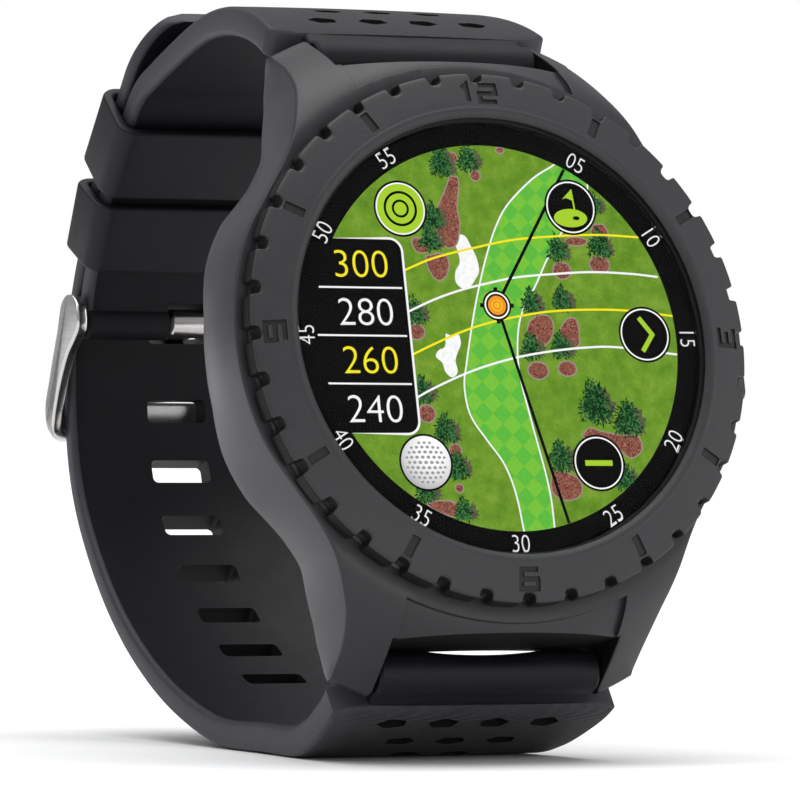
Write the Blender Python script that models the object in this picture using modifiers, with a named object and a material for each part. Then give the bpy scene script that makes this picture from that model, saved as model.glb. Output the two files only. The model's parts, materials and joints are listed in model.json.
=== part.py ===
"""Golf GPS watch, buckled, standing on the loop of its own strap.

Every size below is in millimetres in the watch head's own frame: x runs towards 3 o'clock,
y runs from the glass towards the wrist and z runs towards 12 o'clock. The empty "watch"
leans that frame back and stands it on the floor; MM turns millimetres into metres.
"""
import math

import bmesh
import bpy
from mathutils import Vector

MM = 0.001
FRONT_AXIS = (math.pi / 2, 0, 0)            # local Z points out of the glass
SIDE_AXIS = (0, math.pi / 2, 0)             # local Z points to 3 o'clock
SHEET_AXIS = (math.pi / 2, 0, math.pi / 2)  # local X, Y, Z are the head's y, z, x
LEAN = math.radians(14.0)          # how far the head leans back
GAP = 0.3                          # clearance between touching pieces

# Head
CASE_R = 24.7                      # barrel of the case
CASE_FRONT_Y = 1.95                # shoulder beside the bezel
CASE_BACK_Y = 10.7
CAVITY_R = 20.9
CAVITY_FRONT_Y = 2.0
CAVITY_BACK_Y = 9.9
LEDGE_R = 18.6
LEDGE_Y = 1.0
NECK_R = 21.4
NECK_BORE_R = 20.25
NECK_FRONT_Y = -0.2
SEAT_R = 23.2                      # recess for the rear cover
LUG_INNER_X = 11.1
LUG_BAR_Y = 10.6
LUG_BAR_Z = 28.0
END_WALL_Z = 26.1                  # case wall between the lugs
PANEL_ARC_R = 25.4
PANEL_DEPTH = 0.45
BEZEL_R = 24.15
NOTCHES = 36
NOTCH_R = 0.8
BUTTON_Y = 5.6
BUTTON_HALF_Z = 4.7
BUTTON_HALF_Y = 2.0
BUTTON_OUT_X = 26.0
SCREW_R = 21.9                     # pitch circle radius of the rear cover screws
PIN_PITCH = 2.2
CONTACT_Z = -8.0

# Front and rear outlines of the case as (radius, depth behind the glass)
DOME = [(25.0, 1.95), (25.7, 2.1), (26.4, 2.6), (27.3, 3.5), (28.2, 4.6), (29.2, 6.0), (30.3, 7.7),
        (31.3, 9.4), (32.1, 10.8)]
CASE_UNDERSIDE = [(32.0, 11.7), (31.0, 12.4), (29.0, 12.4), (26.8, 11.4), (24.9, 9.9), (24.0, 10.7)]

# Spring bars, and the strap ends rolled round them
BAR_R = 0.75
BAR_HALF = 12.7
BAR_BORE_R = 1.0
LUG_HOLE_R = 0.95
LUG_ROLL_R = 2.1
BUCKLE_ROLL_R = 1.65

# Strap
SHOULDER_HALF = 14.0
TAIL_HALF = 11.1
EAR_Y = 12.8                       # where the strap widens behind the lugs
HOLE_PITCH = 6.3
HOLE_SIZE = (6.1, 2.3)             # across and along the strap
HOLE_COUNT = 12
STRETCHED_HOLE = 4.9               # length of the hole that the tongue pulls open
TONGUE_HOLE = (71.1, 17.35)
HOLE_TONGUE = 7                    # the hole that the tongue stands in, from the lug end
BUCKLE_Y = 66.9
BUCKLE_Z = 18.7
TONGUE_ROLL_R = 1.4
FRAME_INNER_X = 11.5
FRAME_OUTER_X = 12.6

# Middle line of each strap half, (y, z), from its lug bar
LOWER_LINE = [(10.6, -28.0), (13.4, -29.85), (17.3, -30.8), (21.3, -31.25), (25.6, -30.98),
              (33.9, -28.95), (42.6, -26.83), (48.5, -24.4), (55.8, -20.0), (62, -14.8), (66.6, -9.5),
              (70.0, -4), (72.3, 1.5), (73.1, 6.5), (72.7, 11.8), (71.7, 16.2), (70.2, 19.5),
              (67.8, 23.1), (64.6, 27.0), (61.5, 30.8), (59.9, 32.3), (56.8, 34.7), (52.0, 38.3),
              (48.8, 40.7), (45.6, 43.1)]
UPPER_LINE = [(10.6, 28.0), (13.4, 30.8), (17, 33.1), (21, 34.9), (25.5, 36.4), (30.5, 37.4),
              (35.5, 37.7), (40.5, 37.6), (45, 37.3), (48.8, 36.8), (51.8, 35.3), (55.3, 32.7),
              (58.4, 30.3), (59.6, 29.1), (61.7, 26.6), (65.8, 21.6), (66.9, 18.7), (67.3, 17.5)]
LOWER_THICK = (3.0, 1.7)           # at the lug and at the tail
UPPER_THICK = (2.8, 2.3)

# Keepers: middle (y, z), lean in degrees and length along the strap
KEEPERS = {"keeper_upper": ((56.0, 33.6), 37.0, 7.8), "keeper_lower": ((62.6, 27.3), 50.5, 6.8)}
KEEPER_HALF_X = 12.3
KEEPER_WALL = 1.05
KEEPER_HALF_STACK = 3.75

# Buckle outlines as (y, z)
FRAME_ARM = [(66.2, 20.5), (67.6, 20.7), (68.8, 20.1), (70.2, 18.0), (72.2, 15.9), (74.2, 13.6),
             (75.9, 11.6), (76.4, 10.4), (75.9, 9.3), (74.9, 9.0), (73.9, 9.6), (73.1, 11.2),
             (71.3, 13.6), (68.9, 15.8), (66.7, 16.9), (65.3, 17.5), (64.9, 18.8), (65.2, 19.9)]
FRONT_BAR = (75.5, 10.3)
TONGUE = [(67.6, 19.7), (68.9, 18.6), (71.4, 18.0), (74.4, 16.3), (77.0, 12.8), (77.6, 10.4),
          (77.2, 9.3), (76.6, 9.6), (76.7, 10.7), (75.9, 12.6), (73.6, 15.3), (70.9, 16.9),
          (68.2, 17.3), (66.9, 17.5)]

parts = None
cutters = None
watch = None


# ---------------------------------------------------------------- scene and materials

def clear_scene():
    for obj in list(bpy.data.objects):
        bpy.data.objects.remove(obj, do_unlink=True)


def new_collection(name):
    collection = bpy.data.collections.new(name)
    bpy.context.scene.collection.children.link(collection)
    return collection


def material(name, color, roughness, metallic=0.0, alpha=1.0):
    mat = bpy.data.materials.get(name)
    if mat:
        return mat
    mat = bpy.data.materials.new(name)
    mat.use_nodes = True
    shader = mat.node_tree.nodes["Principled BSDF"]
    shader.inputs["Base Color"].default_value = (*color, 1.0)
    shader.inputs["Roughness"].default_value = roughness
    shader.inputs["Metallic"].default_value = metallic
    shader.inputs["Alpha"].default_value = alpha
    mat.diffuse_color = (*color, alpha)
    return mat


def case_plastic():
    return material("case_plastic", (0.032, 0.031, 0.034), 0.48)


def bezel_plastic():
    return material("bezel_plastic", (0.036, 0.037, 0.038), 0.55)


def strap_rubber():
    return material("strap_rubber", (0.024, 0.025, 0.029), 0.6)


def seal_rubber():
    return material("seal_rubber", (0.01, 0.01, 0.01), 0.7)


def steel():
    return material("steel", (0.72, 0.71, 0.69), 0.22, 1.0)


def glass():
    return material("glass", (0.9, 0.92, 0.93), 0.03, 0.0, 0.15)


def dial_black():
    return material("dial_black", (0.008, 0.008, 0.01), 0.3)


def screen():
    return material("screen", (0.16, 0.33, 0.06), 0.35)


def inner_plastic():
    return material("inner_plastic", (0.12, 0.12, 0.13), 0.6)


def board_green():
    return material("board_green", (0.02, 0.14, 0.06), 0.5)


def battery_foil():
    return material("battery_foil", (0.6, 0.6, 0.62), 0.35, 0.6)


def gold():
    return material("gold", (0.83, 0.62, 0.25), 0.25, 1.0)


# ---------------------------------------------------------------- modelling helpers

def add_object(name, data, mat=None, rotation=(0, 0, 0), location=(0, 0, 0), collection=None):
    """Links a new object under the watch empty; location is in millimetres."""
    obj = bpy.data.objects.new(name, data)
    (collection or parts).objects.link(obj)
    obj.parent = watch
    obj.rotation_euler = rotation
    obj.location = Vector(location) * MM
    if mat:
        data.materials.append(mat)
    return obj


def as_cutter(obj):
    for collection in list(obj.users_collection):
        collection.objects.unlink(obj)
    cutters.objects.link(obj)
    obj.hide_render = True
    obj.display_type = "WIRE"
    return obj


def boolean(obj, other, operation="DIFFERENCE"):
    mod = obj.modifiers.new(operation.lower() + "_" + other.name, "BOOLEAN")
    mod.operation = operation
    mod.solver = "EXACT"
    mod.object = other
    return obj


def bevel(obj, width, segments=2, angle=40.0):
    mod = obj.modifiers.new("bevel", "BEVEL")
    mod.width = width * MM
    mod.segments = segments
    mod.limit_method = "ANGLE"
    mod.angle_limit = math.radians(angle)
    return obj


def smooth(obj, angle=35.0):
    obj.data.shade_smooth()
    obj.data.set_sharp_from_angle(angle=math.radians(angle))
    return obj


def turned(name, profile, mat=None, segments=72, closed=True, axis=FRONT_AXIS, location=(0, 0, 0)):
    """A profile of (radius, depth behind the glass) turned about the axis, outer side first."""
    mesh = bpy.data.meshes.new(name)
    work = bmesh.new()
    verts = [work.verts.new((radius * MM, 0, -depth * MM)) for radius, depth in profile]
    for start, end in zip(verts, verts[1:]):
        work.edges.new((start, end))
    if closed:
        work.edges.new((verts[-1], verts[0]))
    work.to_mesh(mesh)
    work.free()
    obj = add_object(name, mesh, mat, axis, location)
    mod = obj.modifiers.new("turn", "SCREW")
    mod.axis = "Z"
    mod.steps = segments
    mod.render_steps = segments
    mod.use_merge_vertices = True
    mod.merge_threshold = 0.00001
    mod.use_smooth_shade = True
    return obj


def disc(name, radius, front, back, mat, segments=64, axis=FRONT_AXIS, location=(0, 0, 0)):
    profile = [(0, front), (radius, front), (radius, back), (0, back)]
    return turned(name, profile, mat, segments, False, axis, location)


def ring(name, inner, outer, front, back, mat, segments=64, axis=FRONT_AXIS, location=(0, 0, 0)):
    profile = [(outer, front), (outer, back), (inner, back), (inner, front)]
    return turned(name, profile, mat, segments, True, axis, location)


def rod(name, radius, x0, x1, y, z, mat=None, segments=16):
    """A round bar along x."""
    mesh = bpy.data.meshes.new(name)
    work = bmesh.new()
    bmesh.ops.create_cone(work, cap_ends=True, segments=segments, radius1=radius * MM,
                          radius2=radius * MM, depth=(x1 - x0) * MM)
    work.to_mesh(mesh)
    work.free()
    return add_object(name, mesh, mat, SIDE_AXIS, ((x0 + x1) / 2, y, z))


def block(name, size, centre, mat=None, rotation=(0, 0, 0)):
    mesh = bpy.data.meshes.new(name)
    work = bmesh.new()
    bmesh.ops.create_cube(work, size=1.0)
    bmesh.ops.scale(work, vec=Vector(size) * MM, verts=work.verts)
    work.to_mesh(mesh)
    work.free()
    return add_object(name, mesh, mat, rotation, centre)


def slab(name, outline, half, mat=None, axis=SHEET_AXIS, location=(0, 0, 0)):
    """A flat outline, filled and given a thickness of twice half along its local Z."""
    curve = bpy.data.curves.new(name + "_outline", "CURVE")
    curve.dimensions = "2D"
    curve.fill_mode = "BOTH"
    curve.extrude = half * MM
    spline = curve.splines.new("POLY")
    spline.points.add(len(outline) - 1)
    for point, (u, v) in zip(spline.points, outline):
        point.co = (u * MM, v * MM, 0, 1)
    spline.use_cyclic_u = True
    return curve_to_mesh(name, curve, mat, axis, location)


def curve_to_mesh(name, curve, mat, axis=(0, 0, 0), location=(0, 0, 0)):
    """Turns a curve into a welded mesh object, because Booleans need meshes."""
    temp = bpy.data.objects.new(name + "_curve", curve)
    bpy.context.scene.collection.objects.link(temp)
    bpy.context.view_layer.update()
    evaluated = temp.evaluated_get(bpy.context.evaluated_depsgraph_get())
    mesh = bpy.data.meshes.new_from_object(evaluated)
    mesh.name = name
    bpy.data.objects.remove(temp, do_unlink=True)
    work = bmesh.new()
    work.from_mesh(mesh)
    bmesh.ops.remove_doubles(work, verts=work.verts, dist=0.00001)
    bmesh.ops.recalc_face_normals(work, faces=work.faces)
    work.to_mesh(mesh)
    work.free()
    mesh.materials.clear()
    return add_object(name, mesh, mat, axis, location)


def polar(radius, angle):
    """A point on a circle in the dial plane, with the angle clockwise from 12 o'clock."""
    return radius * math.sin(angle), radius * math.cos(angle)


def mirrored(points):
    """Adds the reflection of a right-hand outline, so that it closes on the other side."""
    return points + [(-x, z) for x, z in reversed(points)]


# ---------------------------------------------------------------- case

def lug_side():
    """Right-hand outline of the head from 3 o'clock to the tip of a lug, as (x, z)."""
    arc = [(CASE_R * math.cos(math.radians(a)), CASE_R * math.sin(math.radians(a)))
           for a in range(0, 41, 4)]
    lug = [(18.0, 17.0), (17.2, 18.9), (16.5, 20.6), (15.9, 22.2), (15.4, 23.7), (15.05, 25.1),
           (14.8, 26.6), (14.8, 34.0)]
    return arc + lug


def case_outline():
    upper = lug_side()
    lower = [(x, -z) for x, z in reversed(upper[1:])]
    return mirrored(lower + upper)


def case_body():
    case = slab("case_body", case_outline(), 16.0, case_plastic(), FRONT_AXIS)
    dome = [(0, CASE_FRONT_Y)] + DOME + CASE_UNDERSIDE + [(0, CASE_BACK_Y)]
    boolean(case, as_cutter(turned("case_dome", dome, segments=96, closed=False)), "INTERSECT")
    neck = [(NECK_R, NECK_FRONT_Y), (NECK_R, 3.0), (NECK_BORE_R - 1, 3.0), (NECK_BORE_R - 1, NECK_FRONT_Y)]
    boolean(case, as_cutter(turned("case_neck", neck, segments=96)), "UNION")
    inside = [(0, -3.0), (NECK_BORE_R, -3.0), (NECK_BORE_R, LEDGE_Y), (LEDGE_R, LEDGE_Y),
              (LEDGE_R, CAVITY_FRONT_Y), (CAVITY_R, CAVITY_FRONT_Y), (CAVITY_R, CAVITY_BACK_Y),
              (SEAT_R, CAVITY_BACK_Y), (SEAT_R, 16.0), (0, 16.0)]
    boolean(case, as_cutter(turned("case_inside", inside, segments=96, closed=False)))
    for side, label in ((1, "upper"), (-1, "lower")):
        wall = [(-3, END_WALL_Z), (4.5, END_WALL_Z), (6.5, 25.4), (15, 24.9), (15, 40), (-3, 40)]
        gap = slab("lug_gap_" + label, [(y, side * z) for y, z in wall], LUG_INNER_X)
        boolean(case, as_cutter(gap))
        reach = LUG_INNER_X + 1.9
        hole = rod("lug_hole_" + label, LUG_HOLE_R, -reach, reach, LUG_BAR_Y, side * LUG_BAR_Z)
        boolean(case, as_cutter(hole))
        boolean(case, panel_cutter(side, label))
    button_pocket(case)
    for hole in cover_screw_places():
        cutter = disc("screw_hole", 0.65, 7.2, 14.0, None, 12, FRONT_AXIS, (hole[0], 0, hole[1]))
        boolean(case, as_cutter(cutter))
    return smooth(case, 30)


def panel_cutter(side, label):
    """The shallow panel between two lugs, behind an arc about the dial."""
    floor = [(radius, depth + PANEL_DEPTH) for radius, depth in DOME]
    profile = [(33.0, -2.0), (33.0, 11.0)] + floor[::-1] + [(PANEL_ARC_R, 2.4), (PANEL_ARC_R, -2.0)]
    sweep = as_cutter(turned("panel_sweep_" + label, profile, segments=96))
    panel = block("panel_" + label, (2 * LUG_INNER_X - 0.6, 14, 9), (0, 4, side * 25.5))
    boolean(panel, sweep, "INTERSECT")
    return as_cutter(panel)


def button_pocket(case):
    pocket = block("button_pocket", (6.0, 2 * BUTTON_HALF_Y + 0.6, 2 * BUTTON_HALF_Z + 0.6),
                   (26.0, BUTTON_Y, 0))
    boolean(case, as_cutter(pocket))
    bore = rod("button_bore", 1.05, 18.0, 26.0, BUTTON_Y, 0)
    boolean(case, as_cutter(bore))
    seal_room = rod("seal_room", 1.75, 19.0, 21.9, BUTTON_Y, 0)
    boolean(case, as_cutter(seal_room))


def cover_screw_places():
    return [polar(SCREW_R, math.radians(45 + 90 * k)) for k in range(4)]


# ---------------------------------------------------------------- bezel and glass

def bezel_ring():
    profile = [(20.4, -1.05), (20.9, -1.0), (22.3, -0.7), (23.4, -0.25), (23.95, 0.2), (BEZEL_R, 0.7),
               (BEZEL_R, 1.65), (21.7, 1.65), (21.7, -0.45), (19.85, -0.45), (19.85, -0.65)]
    bezel = turned("bezel_ring", profile, bezel_plastic())
    boolean(bezel, notch_cutter())
    return smooth(bezel, 25)


def notch_cutter():
    """All the grip notches of the bezel in one mesh."""
    mesh = bpy.data.meshes.new("bezel_notches")
    work = bmesh.new()
    for k in range(NOTCHES):
        x, z = polar(BEZEL_R + 0.1, 2 * math.pi * k / NOTCHES)
        made = bmesh.ops.create_cone(work, cap_ends=True, segments=8, radius1=NOTCH_R * MM,
                                     radius2=NOTCH_R * MM, depth=6 * MM)
        bmesh.ops.translate(work, vec=Vector((x, z, 0)) * MM, verts=made["verts"])
    work.to_mesh(mesh)
    work.free()
    return as_cutter(add_object("bezel_notches", mesh, None, FRONT_AXIS))


def glass_and_dial():
    lens = [(0, -0.2), (19.3, -0.2), (19.5, 0.0), (19.5, 0.4), (0, 0.4)]
    smooth(turned("lens_glass", lens, glass(), 60, closed=False))
    ring("lens_gasket", 19.65, 20.1, -0.1, 0.7, seal_rubber(), 48)
    ring("minute_ring", 17.75, 19.5, 0.55, 0.85, dial_black(), 48)
    disc("display_panel", 17.6, 0.55, 1.6, screen(), 48)
    ring("bezel_spring", 22.0, 23.6, 1.75, 1.85, steel(), 48)


# ---------------------------------------------------------------- inside the case

def inner_frame():
    profile = [(0, 1.9), (18.2, 1.9), (18.2, 2.3), (19.3, 2.3), (19.3, 9.3), (18.4, 9.3), (18.4, 2.9),
               (17.8, 2.6), (0, 2.6)]
    frame = turned("inner_frame", profile, inner_plastic(), 40, closed=False)
    stem_room = rod("frame_stem_room", 1.7, 17.5, 20.5, BUTTON_Y, 0)
    boolean(frame, as_cutter(stem_room))
    return smooth(frame)


def inside_parts():
    ring("antenna_ring", 19.6, 20.6, 2.3, 3.4, gold(), 40)
    inner_frame()
    disc("main_board", 18.0, 3.1, 3.9, board_green(), 40)
    bevel(block("shield_can", (11, 1.0, 9), (-3.0, 4.7, 2.0), battery_foil()), 0.2, 1)
    bevel(block("battery", (24, 3.4, 20), (-0.6, 7.3, 2.2), battery_foil()), 0.8, 2)
    disc("vibration_motor", 3.6, 4.4, 7.0, steel(), 24, FRONT_AXIS, (0, 0, -13.4))
    bevel(block("button_switch", (2.6, 2.4, 4.4), (15.9, BUTTON_Y, 0), inner_plastic()), 0.2, 1)


def rear_cover():
    profile = [(20.0, 9.6), (20.0, 10.15), (22.9, 10.15), (22.9, 11.4), (22.4, 11.9), (0, 11.9)]
    cover = turned("rear_cover", [(0, 9.6)] + profile, inner_plastic(), 48, closed=False)
    for x, z in cover_screw_places():
        shank = disc("cover_hole", 0.65, 9.0, 13.0, None, 12, FRONT_AXIS, (x, 0, z))
        head = disc("cover_sink", 1.05, 11.0, 13.0, None, 12, FRONT_AXIS, (x, 0, z))
        boolean(cover, as_cutter(shank))
        boolean(cover, as_cutter(head))
    window = block("contact_window", (10.0, 6.0, 3.6), (0, 11, CONTACT_Z))
    boolean(cover, as_cutter(window))
    return smooth(cover)


def rear_parts():
    rear_cover()
    gasket = [(20.7, 9.55), (20.7, 9.8), (20.3, 9.8), (20.3, 9.55)]
    turned("rear_gasket", gasket, seal_rubber(), 48)
    for k, (x, z) in enumerate(cover_screw_places()):
        screw = [(0, 7.6), (0.4, 7.6), (0.4, 11.2), (0.8, 11.2), (0.8, 11.75), (0, 11.75)]
        turned(f"cover_screw_{k + 1}", screw, steel(), 12, False, FRONT_AXIS, (x, 0, z))
    holder = block("contact_block", (9.4, 1.6, 3.0), (0, 10.9, CONTACT_Z), inner_plastic())
    for k in range(4):
        x = (k - 1.5) * PIN_PITCH
        bore = disc("pin_bore", 0.8, 9.0, 13.0, None, 12, FRONT_AXIS, (x, 0, CONTACT_Z))
        boolean(holder, as_cutter(bore))
        disc(f"charging_pin_{k + 1}", 0.55, 9.6, 11.75, gold(), 12, FRONT_AXIS, (x, 0, CONTACT_Z))


# ---------------------------------------------------------------- push button

def button_parts():
    cap = block("button_cap", (2.1, 2 * BUTTON_HALF_Y, 2 * BUTTON_HALF_Z),
                (BUTTON_OUT_X - 1.05, BUTTON_Y, 0), case_plastic())
    bevel(cap, 0.7, 2)
    stem = rod("button_stem", 0.7, 18.7, 24.5, BUTTON_Y, 0)
    boolean(cap, as_cutter(stem), "UNION")
    smooth(cap)
    clip = [(1.35, 0), (1.35, 0.4), (0.9, 0.4), (0.9, 0)]
    turned("stem_clip", clip, steel(), 16, True, SIDE_AXIS, (20.5, BUTTON_Y, 0))
    seal = [(1.5, 0), (1.5, 0.7), (0.95, 0.7), (0.95, 0)]
    turned("button_seal", seal, seal_rubber(), 20, True, SIDE_AXIS, (21.75, BUTTON_Y, 0))


# ---------------------------------------------------------------- strap

def bezier_curve(name, line):
    curve = bpy.data.curves.new(name, "CURVE")
    curve.dimensions = "2D"
    curve.resolution_u = 3
    spline = curve.splines.new("BEZIER")
    spline.bezier_points.add(len(line) - 1)
    for point, (y, z) in zip(spline.bezier_points, line):
        point.co = (y * MM, z * MM, 0)
        point.handle_left_type = "AUTO"
        point.handle_right_type = "AUTO"
    return curve


def strap_half_width(y):
    """Half width of the strap at a depth y behind the glass."""
    taper_end = 48.0
    if y >= taper_end:
        return TAIL_HALF
    ease = (y - EAR_Y) / (taper_end - EAR_Y)
    return SHOULDER_HALF + (TAIL_HALF - SHOULDER_HALF) * math.sin(max(ease, 0) * math.pi / 2)


def strap_sheet(name, line, thickness, tail_round):
    """A ribbon along the strap's middle line, tapered in width, then given its thickness."""
    curve = bezier_curve(name + "_line", line)
    curve.extrude = 1.0
    strap = curve_to_mesh(name, curve, strap_rubber(), SHEET_AXIS)
    length = 0.0
    stations = sorted({(round(v.co.x, 7), round(v.co.y, 7)) for v in strap.data.vertices},
                      key=lambda p: line_order(p, line))
    reach = {}
    for before, here in zip([stations[0]] + stations, stations):
        length += math.dist(before, here)
        reach[here] = length
    group = strap.vertex_groups.new(name="thickness")
    for vert in strap.data.vertices:
        along = reach[(round(vert.co.x, 7), round(vert.co.y, 7))]
        half = strap_half_width(vert.co.x / MM) * MM
        if tail_round:
            half *= min(1.0, 0.72 + (length - along) / (10 * MM))
        vert.co.z = math.copysign(half, vert.co.z)
        share = along / length
        group.add([vert.index], 1.0 - share * (1.0 - thickness[1] / thickness[0]), "REPLACE")
    mod = strap.modifiers.new("thickness", "SOLIDIFY")
    mod.thickness = thickness[0] * MM
    mod.offset = 0.0
    mod.vertex_group = group.name
    bevel(strap, 0.35, 1, 60)
    return strap


def line_order(point, line):
    """Where along the control line a station lies: nearest span, then the way along it."""
    best = None
    for k, (start, end) in enumerate(zip(line, line[1:])):
        a = Vector(start) * MM
        b = Vector(end) * MM
        t = (Vector(point) - a).dot(b - a) / (b - a).length_squared
        clamped = min(max(t, 0.0), 1.0)
        gap = (a + (b - a) * clamped - Vector(point)).length
        if best is None or gap < best[0]:
            best = (gap, k + clamped)
    return best[1]


def line_station(line, distance):
    """Position and direction at a distance along the control line."""
    for start, end in zip(line, line[1:]):
        a = Vector(start)
        b = Vector(end)
        span = (b - a).length
        if distance <= span:
            return a + (b - a) * distance / span, (b - a).normalized()
        distance -= span
    return b, (b - a).normalized()


def nearest_distance(line, target):
    """Distance along the control line to the point nearest to target."""
    walked = 0.0
    best = None
    for start, end in zip(line, line[1:]):
        a = Vector(start)
        b = Vector(end)
        span = (b - a).length
        t = min(max((Vector(target) - a).dot(b - a) / span ** 2, 0.0), 1.0)
        gap = (a + (b - a) * t - Vector(target)).length
        if best is None or gap < best[0]:
            best = (gap, walked + span * t)
        walked += span
    return best[1]


def strap_end(strap, side, label):
    """Narrows the end between the lugs and rolls it round the spring bar."""
    for x in (-1, 1):
        width = SHOULDER_HALF + 2 - (LUG_INNER_X - GAP)
        centre = x * (LUG_INNER_X - GAP + width / 2)
        cut = block(f"ear_cut_{label}", (width, 2 * EAR_Y, 20), (centre, 0, side * 29))
        boolean(strap, as_cutter(cut))
    roll_half = LUG_INNER_X - GAP
    roll = rod("roll_" + label, LUG_ROLL_R, -roll_half, roll_half, LUG_BAR_Y, side * LUG_BAR_Z, None, 24)
    boolean(strap, as_cutter(roll), "UNION")
    bore = rod("roll_bore_" + label, BAR_BORE_R, -16, 16, LUG_BAR_Y, side * LUG_BAR_Z)
    boolean(strap, as_cutter(bore))


def lower_strap():
    strap = strap_sheet("lower_strap", LOWER_LINE, LOWER_THICK, tail_round=True)
    strap_end(strap, -1, "lower")
    start = nearest_distance(LOWER_LINE, TONGUE_HOLE) - HOLE_TONGUE * HOLE_PITCH
    for k in range(HOLE_COUNT):
        place, way = line_station(LOWER_LINE, start + k * HOLE_PITCH)
        tilt = math.atan2(way.y, way.x)
        along = STRETCHED_HOLE if k == HOLE_TONGUE else HOLE_SIZE[1]
        hole = block("strap_hole", (HOLE_SIZE[0], along, 6.0), (0, place.x, place.y), None, (tilt, 0, 0))
        boolean(strap, as_cutter(hole))
    return smooth(strap, 40)


def upper_strap():
    strap = strap_sheet("upper_strap", UPPER_LINE, UPPER_THICK, tail_round=False)
    strap_end(strap, 1, "upper")
    roll = rod("buckle_roll", BUCKLE_ROLL_R, -TAIL_HALF, TAIL_HALF, BUCKLE_Y, BUCKLE_Z, None, 20)
    boolean(strap, as_cutter(roll), "UNION")
    bore = rod("buckle_bore", BAR_BORE_R, -14, 14, BUCKLE_Y, BUCKLE_Z)
    boolean(strap, as_cutter(bore))
    notch = block("tongue_notch", (5.4, 8.0, 6.4), (0, BUCKLE_Y, BUCKLE_Z - 1.0))
    boolean(strap, as_cutter(notch))
    return smooth(strap, 40)


def keeper(name):
    (y, z), angle, length = KEEPERS[name]
    turn = (-math.radians(angle), 0, 0)
    body = block(name, (2 * KEEPER_HALF_X, length, 2 * KEEPER_HALF_STACK), (0, y, z), strap_rubber(), turn)
    bevel(body, 0.9, 2)
    inner = (2 * (KEEPER_HALF_X - KEEPER_WALL), length + 4, 2 * (KEEPER_HALF_STACK - KEEPER_WALL))
    boolean(body, as_cutter(block(name + "_bore", inner, (0, y, z), None, turn)))
    return smooth(body)


# ---------------------------------------------------------------- buckle and bars


def frame_arm(side):
    middle = (FRAME_INNER_X + FRAME_OUTER_X) / 2
    half = (FRAME_OUTER_X - FRAME_INNER_X) / 2
    label = "right" if side > 0 else "left"
    return slab("frame_arm_" + label, FRAME_ARM, half, steel(), SHEET_AXIS, (side * middle, 0, 0))


def buckle_frame():
    frame = frame_arm(1)
    frame.name = "buckle_frame"
    boolean(frame, as_cutter(frame_arm(-1)), "UNION")
    bar = block("frame_front_bar", (2 * FRAME_INNER_X + 0.6, 1.5, 2.2), (0, *FRONT_BAR), None,
                (math.radians(-20), 0, 0))
    bevel(bar, 0.5, 2)
    boolean(frame, as_cutter(bar), "UNION")
    reach = FRAME_OUTER_X - 0.35
    bore = rod("frame_bore", BAR_BORE_R, -reach, reach, BUCKLE_Y, BUCKLE_Z)
    boolean(frame, as_cutter(bore))
    return smooth(frame)


def buckle_tongue():
    tongue = slab("buckle_tongue", TONGUE, 1.1, steel())
    roll = rod("tongue_roll", TONGUE_ROLL_R, -2.3, 2.3, BUCKLE_Y, BUCKLE_Z, None, 20)
    boolean(tongue, as_cutter(roll), "UNION")
    bore = rod("tongue_bore", BAR_BORE_R, -4, 4, BUCKLE_Y, BUCKLE_Z)
    boolean(tongue, as_cutter(bore))
    return smooth(tongue)


def bars():
    for side, label in ((1, "upper"), (-1, "lower")):
        rod(f"spring_bar_{label}", BAR_R, -BAR_HALF, BAR_HALF, LUG_BAR_Y, side * LUG_BAR_Z, steel(), 14)
    rod("buckle_bar", BAR_R, -12.0, 12.0, BUCKLE_Y, BUCKLE_Z, steel(), 14)


# ---------------------------------------------------------------- hinge origins and standing

def move_origin(obj, y, z):
    """Puts an object's origin on a joint axis along x, leaving its shape where it is."""
    offset = obj.matrix_basis.inverted() @ (Vector((0, y, z)) * MM)
    offset.z = 0
    for vert in obj.data.vertices:
        vert.co -= offset
    obj.location = obj.matrix_basis @ offset


def stand_on_floor():
    """Moves the watch so that the middle of its box's underside is the origin."""
    bpy.context.view_layer.update()
    graph = bpy.context.evaluated_depsgraph_get()
    corners = []
    for obj in parts.objects:
        if obj.type == "MESH":
            mesh = obj.evaluated_get(graph).to_mesh()
            corners += [obj.matrix_world @ v.co for v in mesh.vertices]
    low = Vector([min(c[i] for c in corners) for i in range(3)])
    high = Vector([max(c[i] for c in corners) for i in range(3)])
    middle = (low + high) / 2
    watch.location = (-middle.x, -middle.y, -low.z)


def build():
    global parts, cutters, watch
    clear_scene()
    parts = new_collection("golf_gps_watch")
    cutters = new_collection("cutters")
    watch = bpy.data.objects.new("watch", None)
    parts.objects.link(watch)
    watch.rotation_euler = (-LEAN, 0, 0)
    case_body()
    bezel_ring()
    glass_and_dial()
    inside_parts()
    rear_parts()
    button_parts()
    lower_strap()
    upper_strap()
    for name in KEEPERS:
        keeper(name)
    move_origin(buckle_frame(), BUCKLE_Y, BUCKLE_Z)
    move_origin(buckle_tongue(), BUCKLE_Y, BUCKLE_Z)
    bars()
    stand_on_floor()


build()
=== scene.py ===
"""Looks of the golf GPS watch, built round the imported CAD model.

Shapes are written in millimetres in the watch head's own frame: x runs towards 3 o'clock,
y from the glass towards the wrist, z towards 12 o'clock, with the middle of the dial at the origin.
"""

import json
import math
import random

import bmesh
import bpy
from mathutils import Matrix, Vector, geometry


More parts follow.
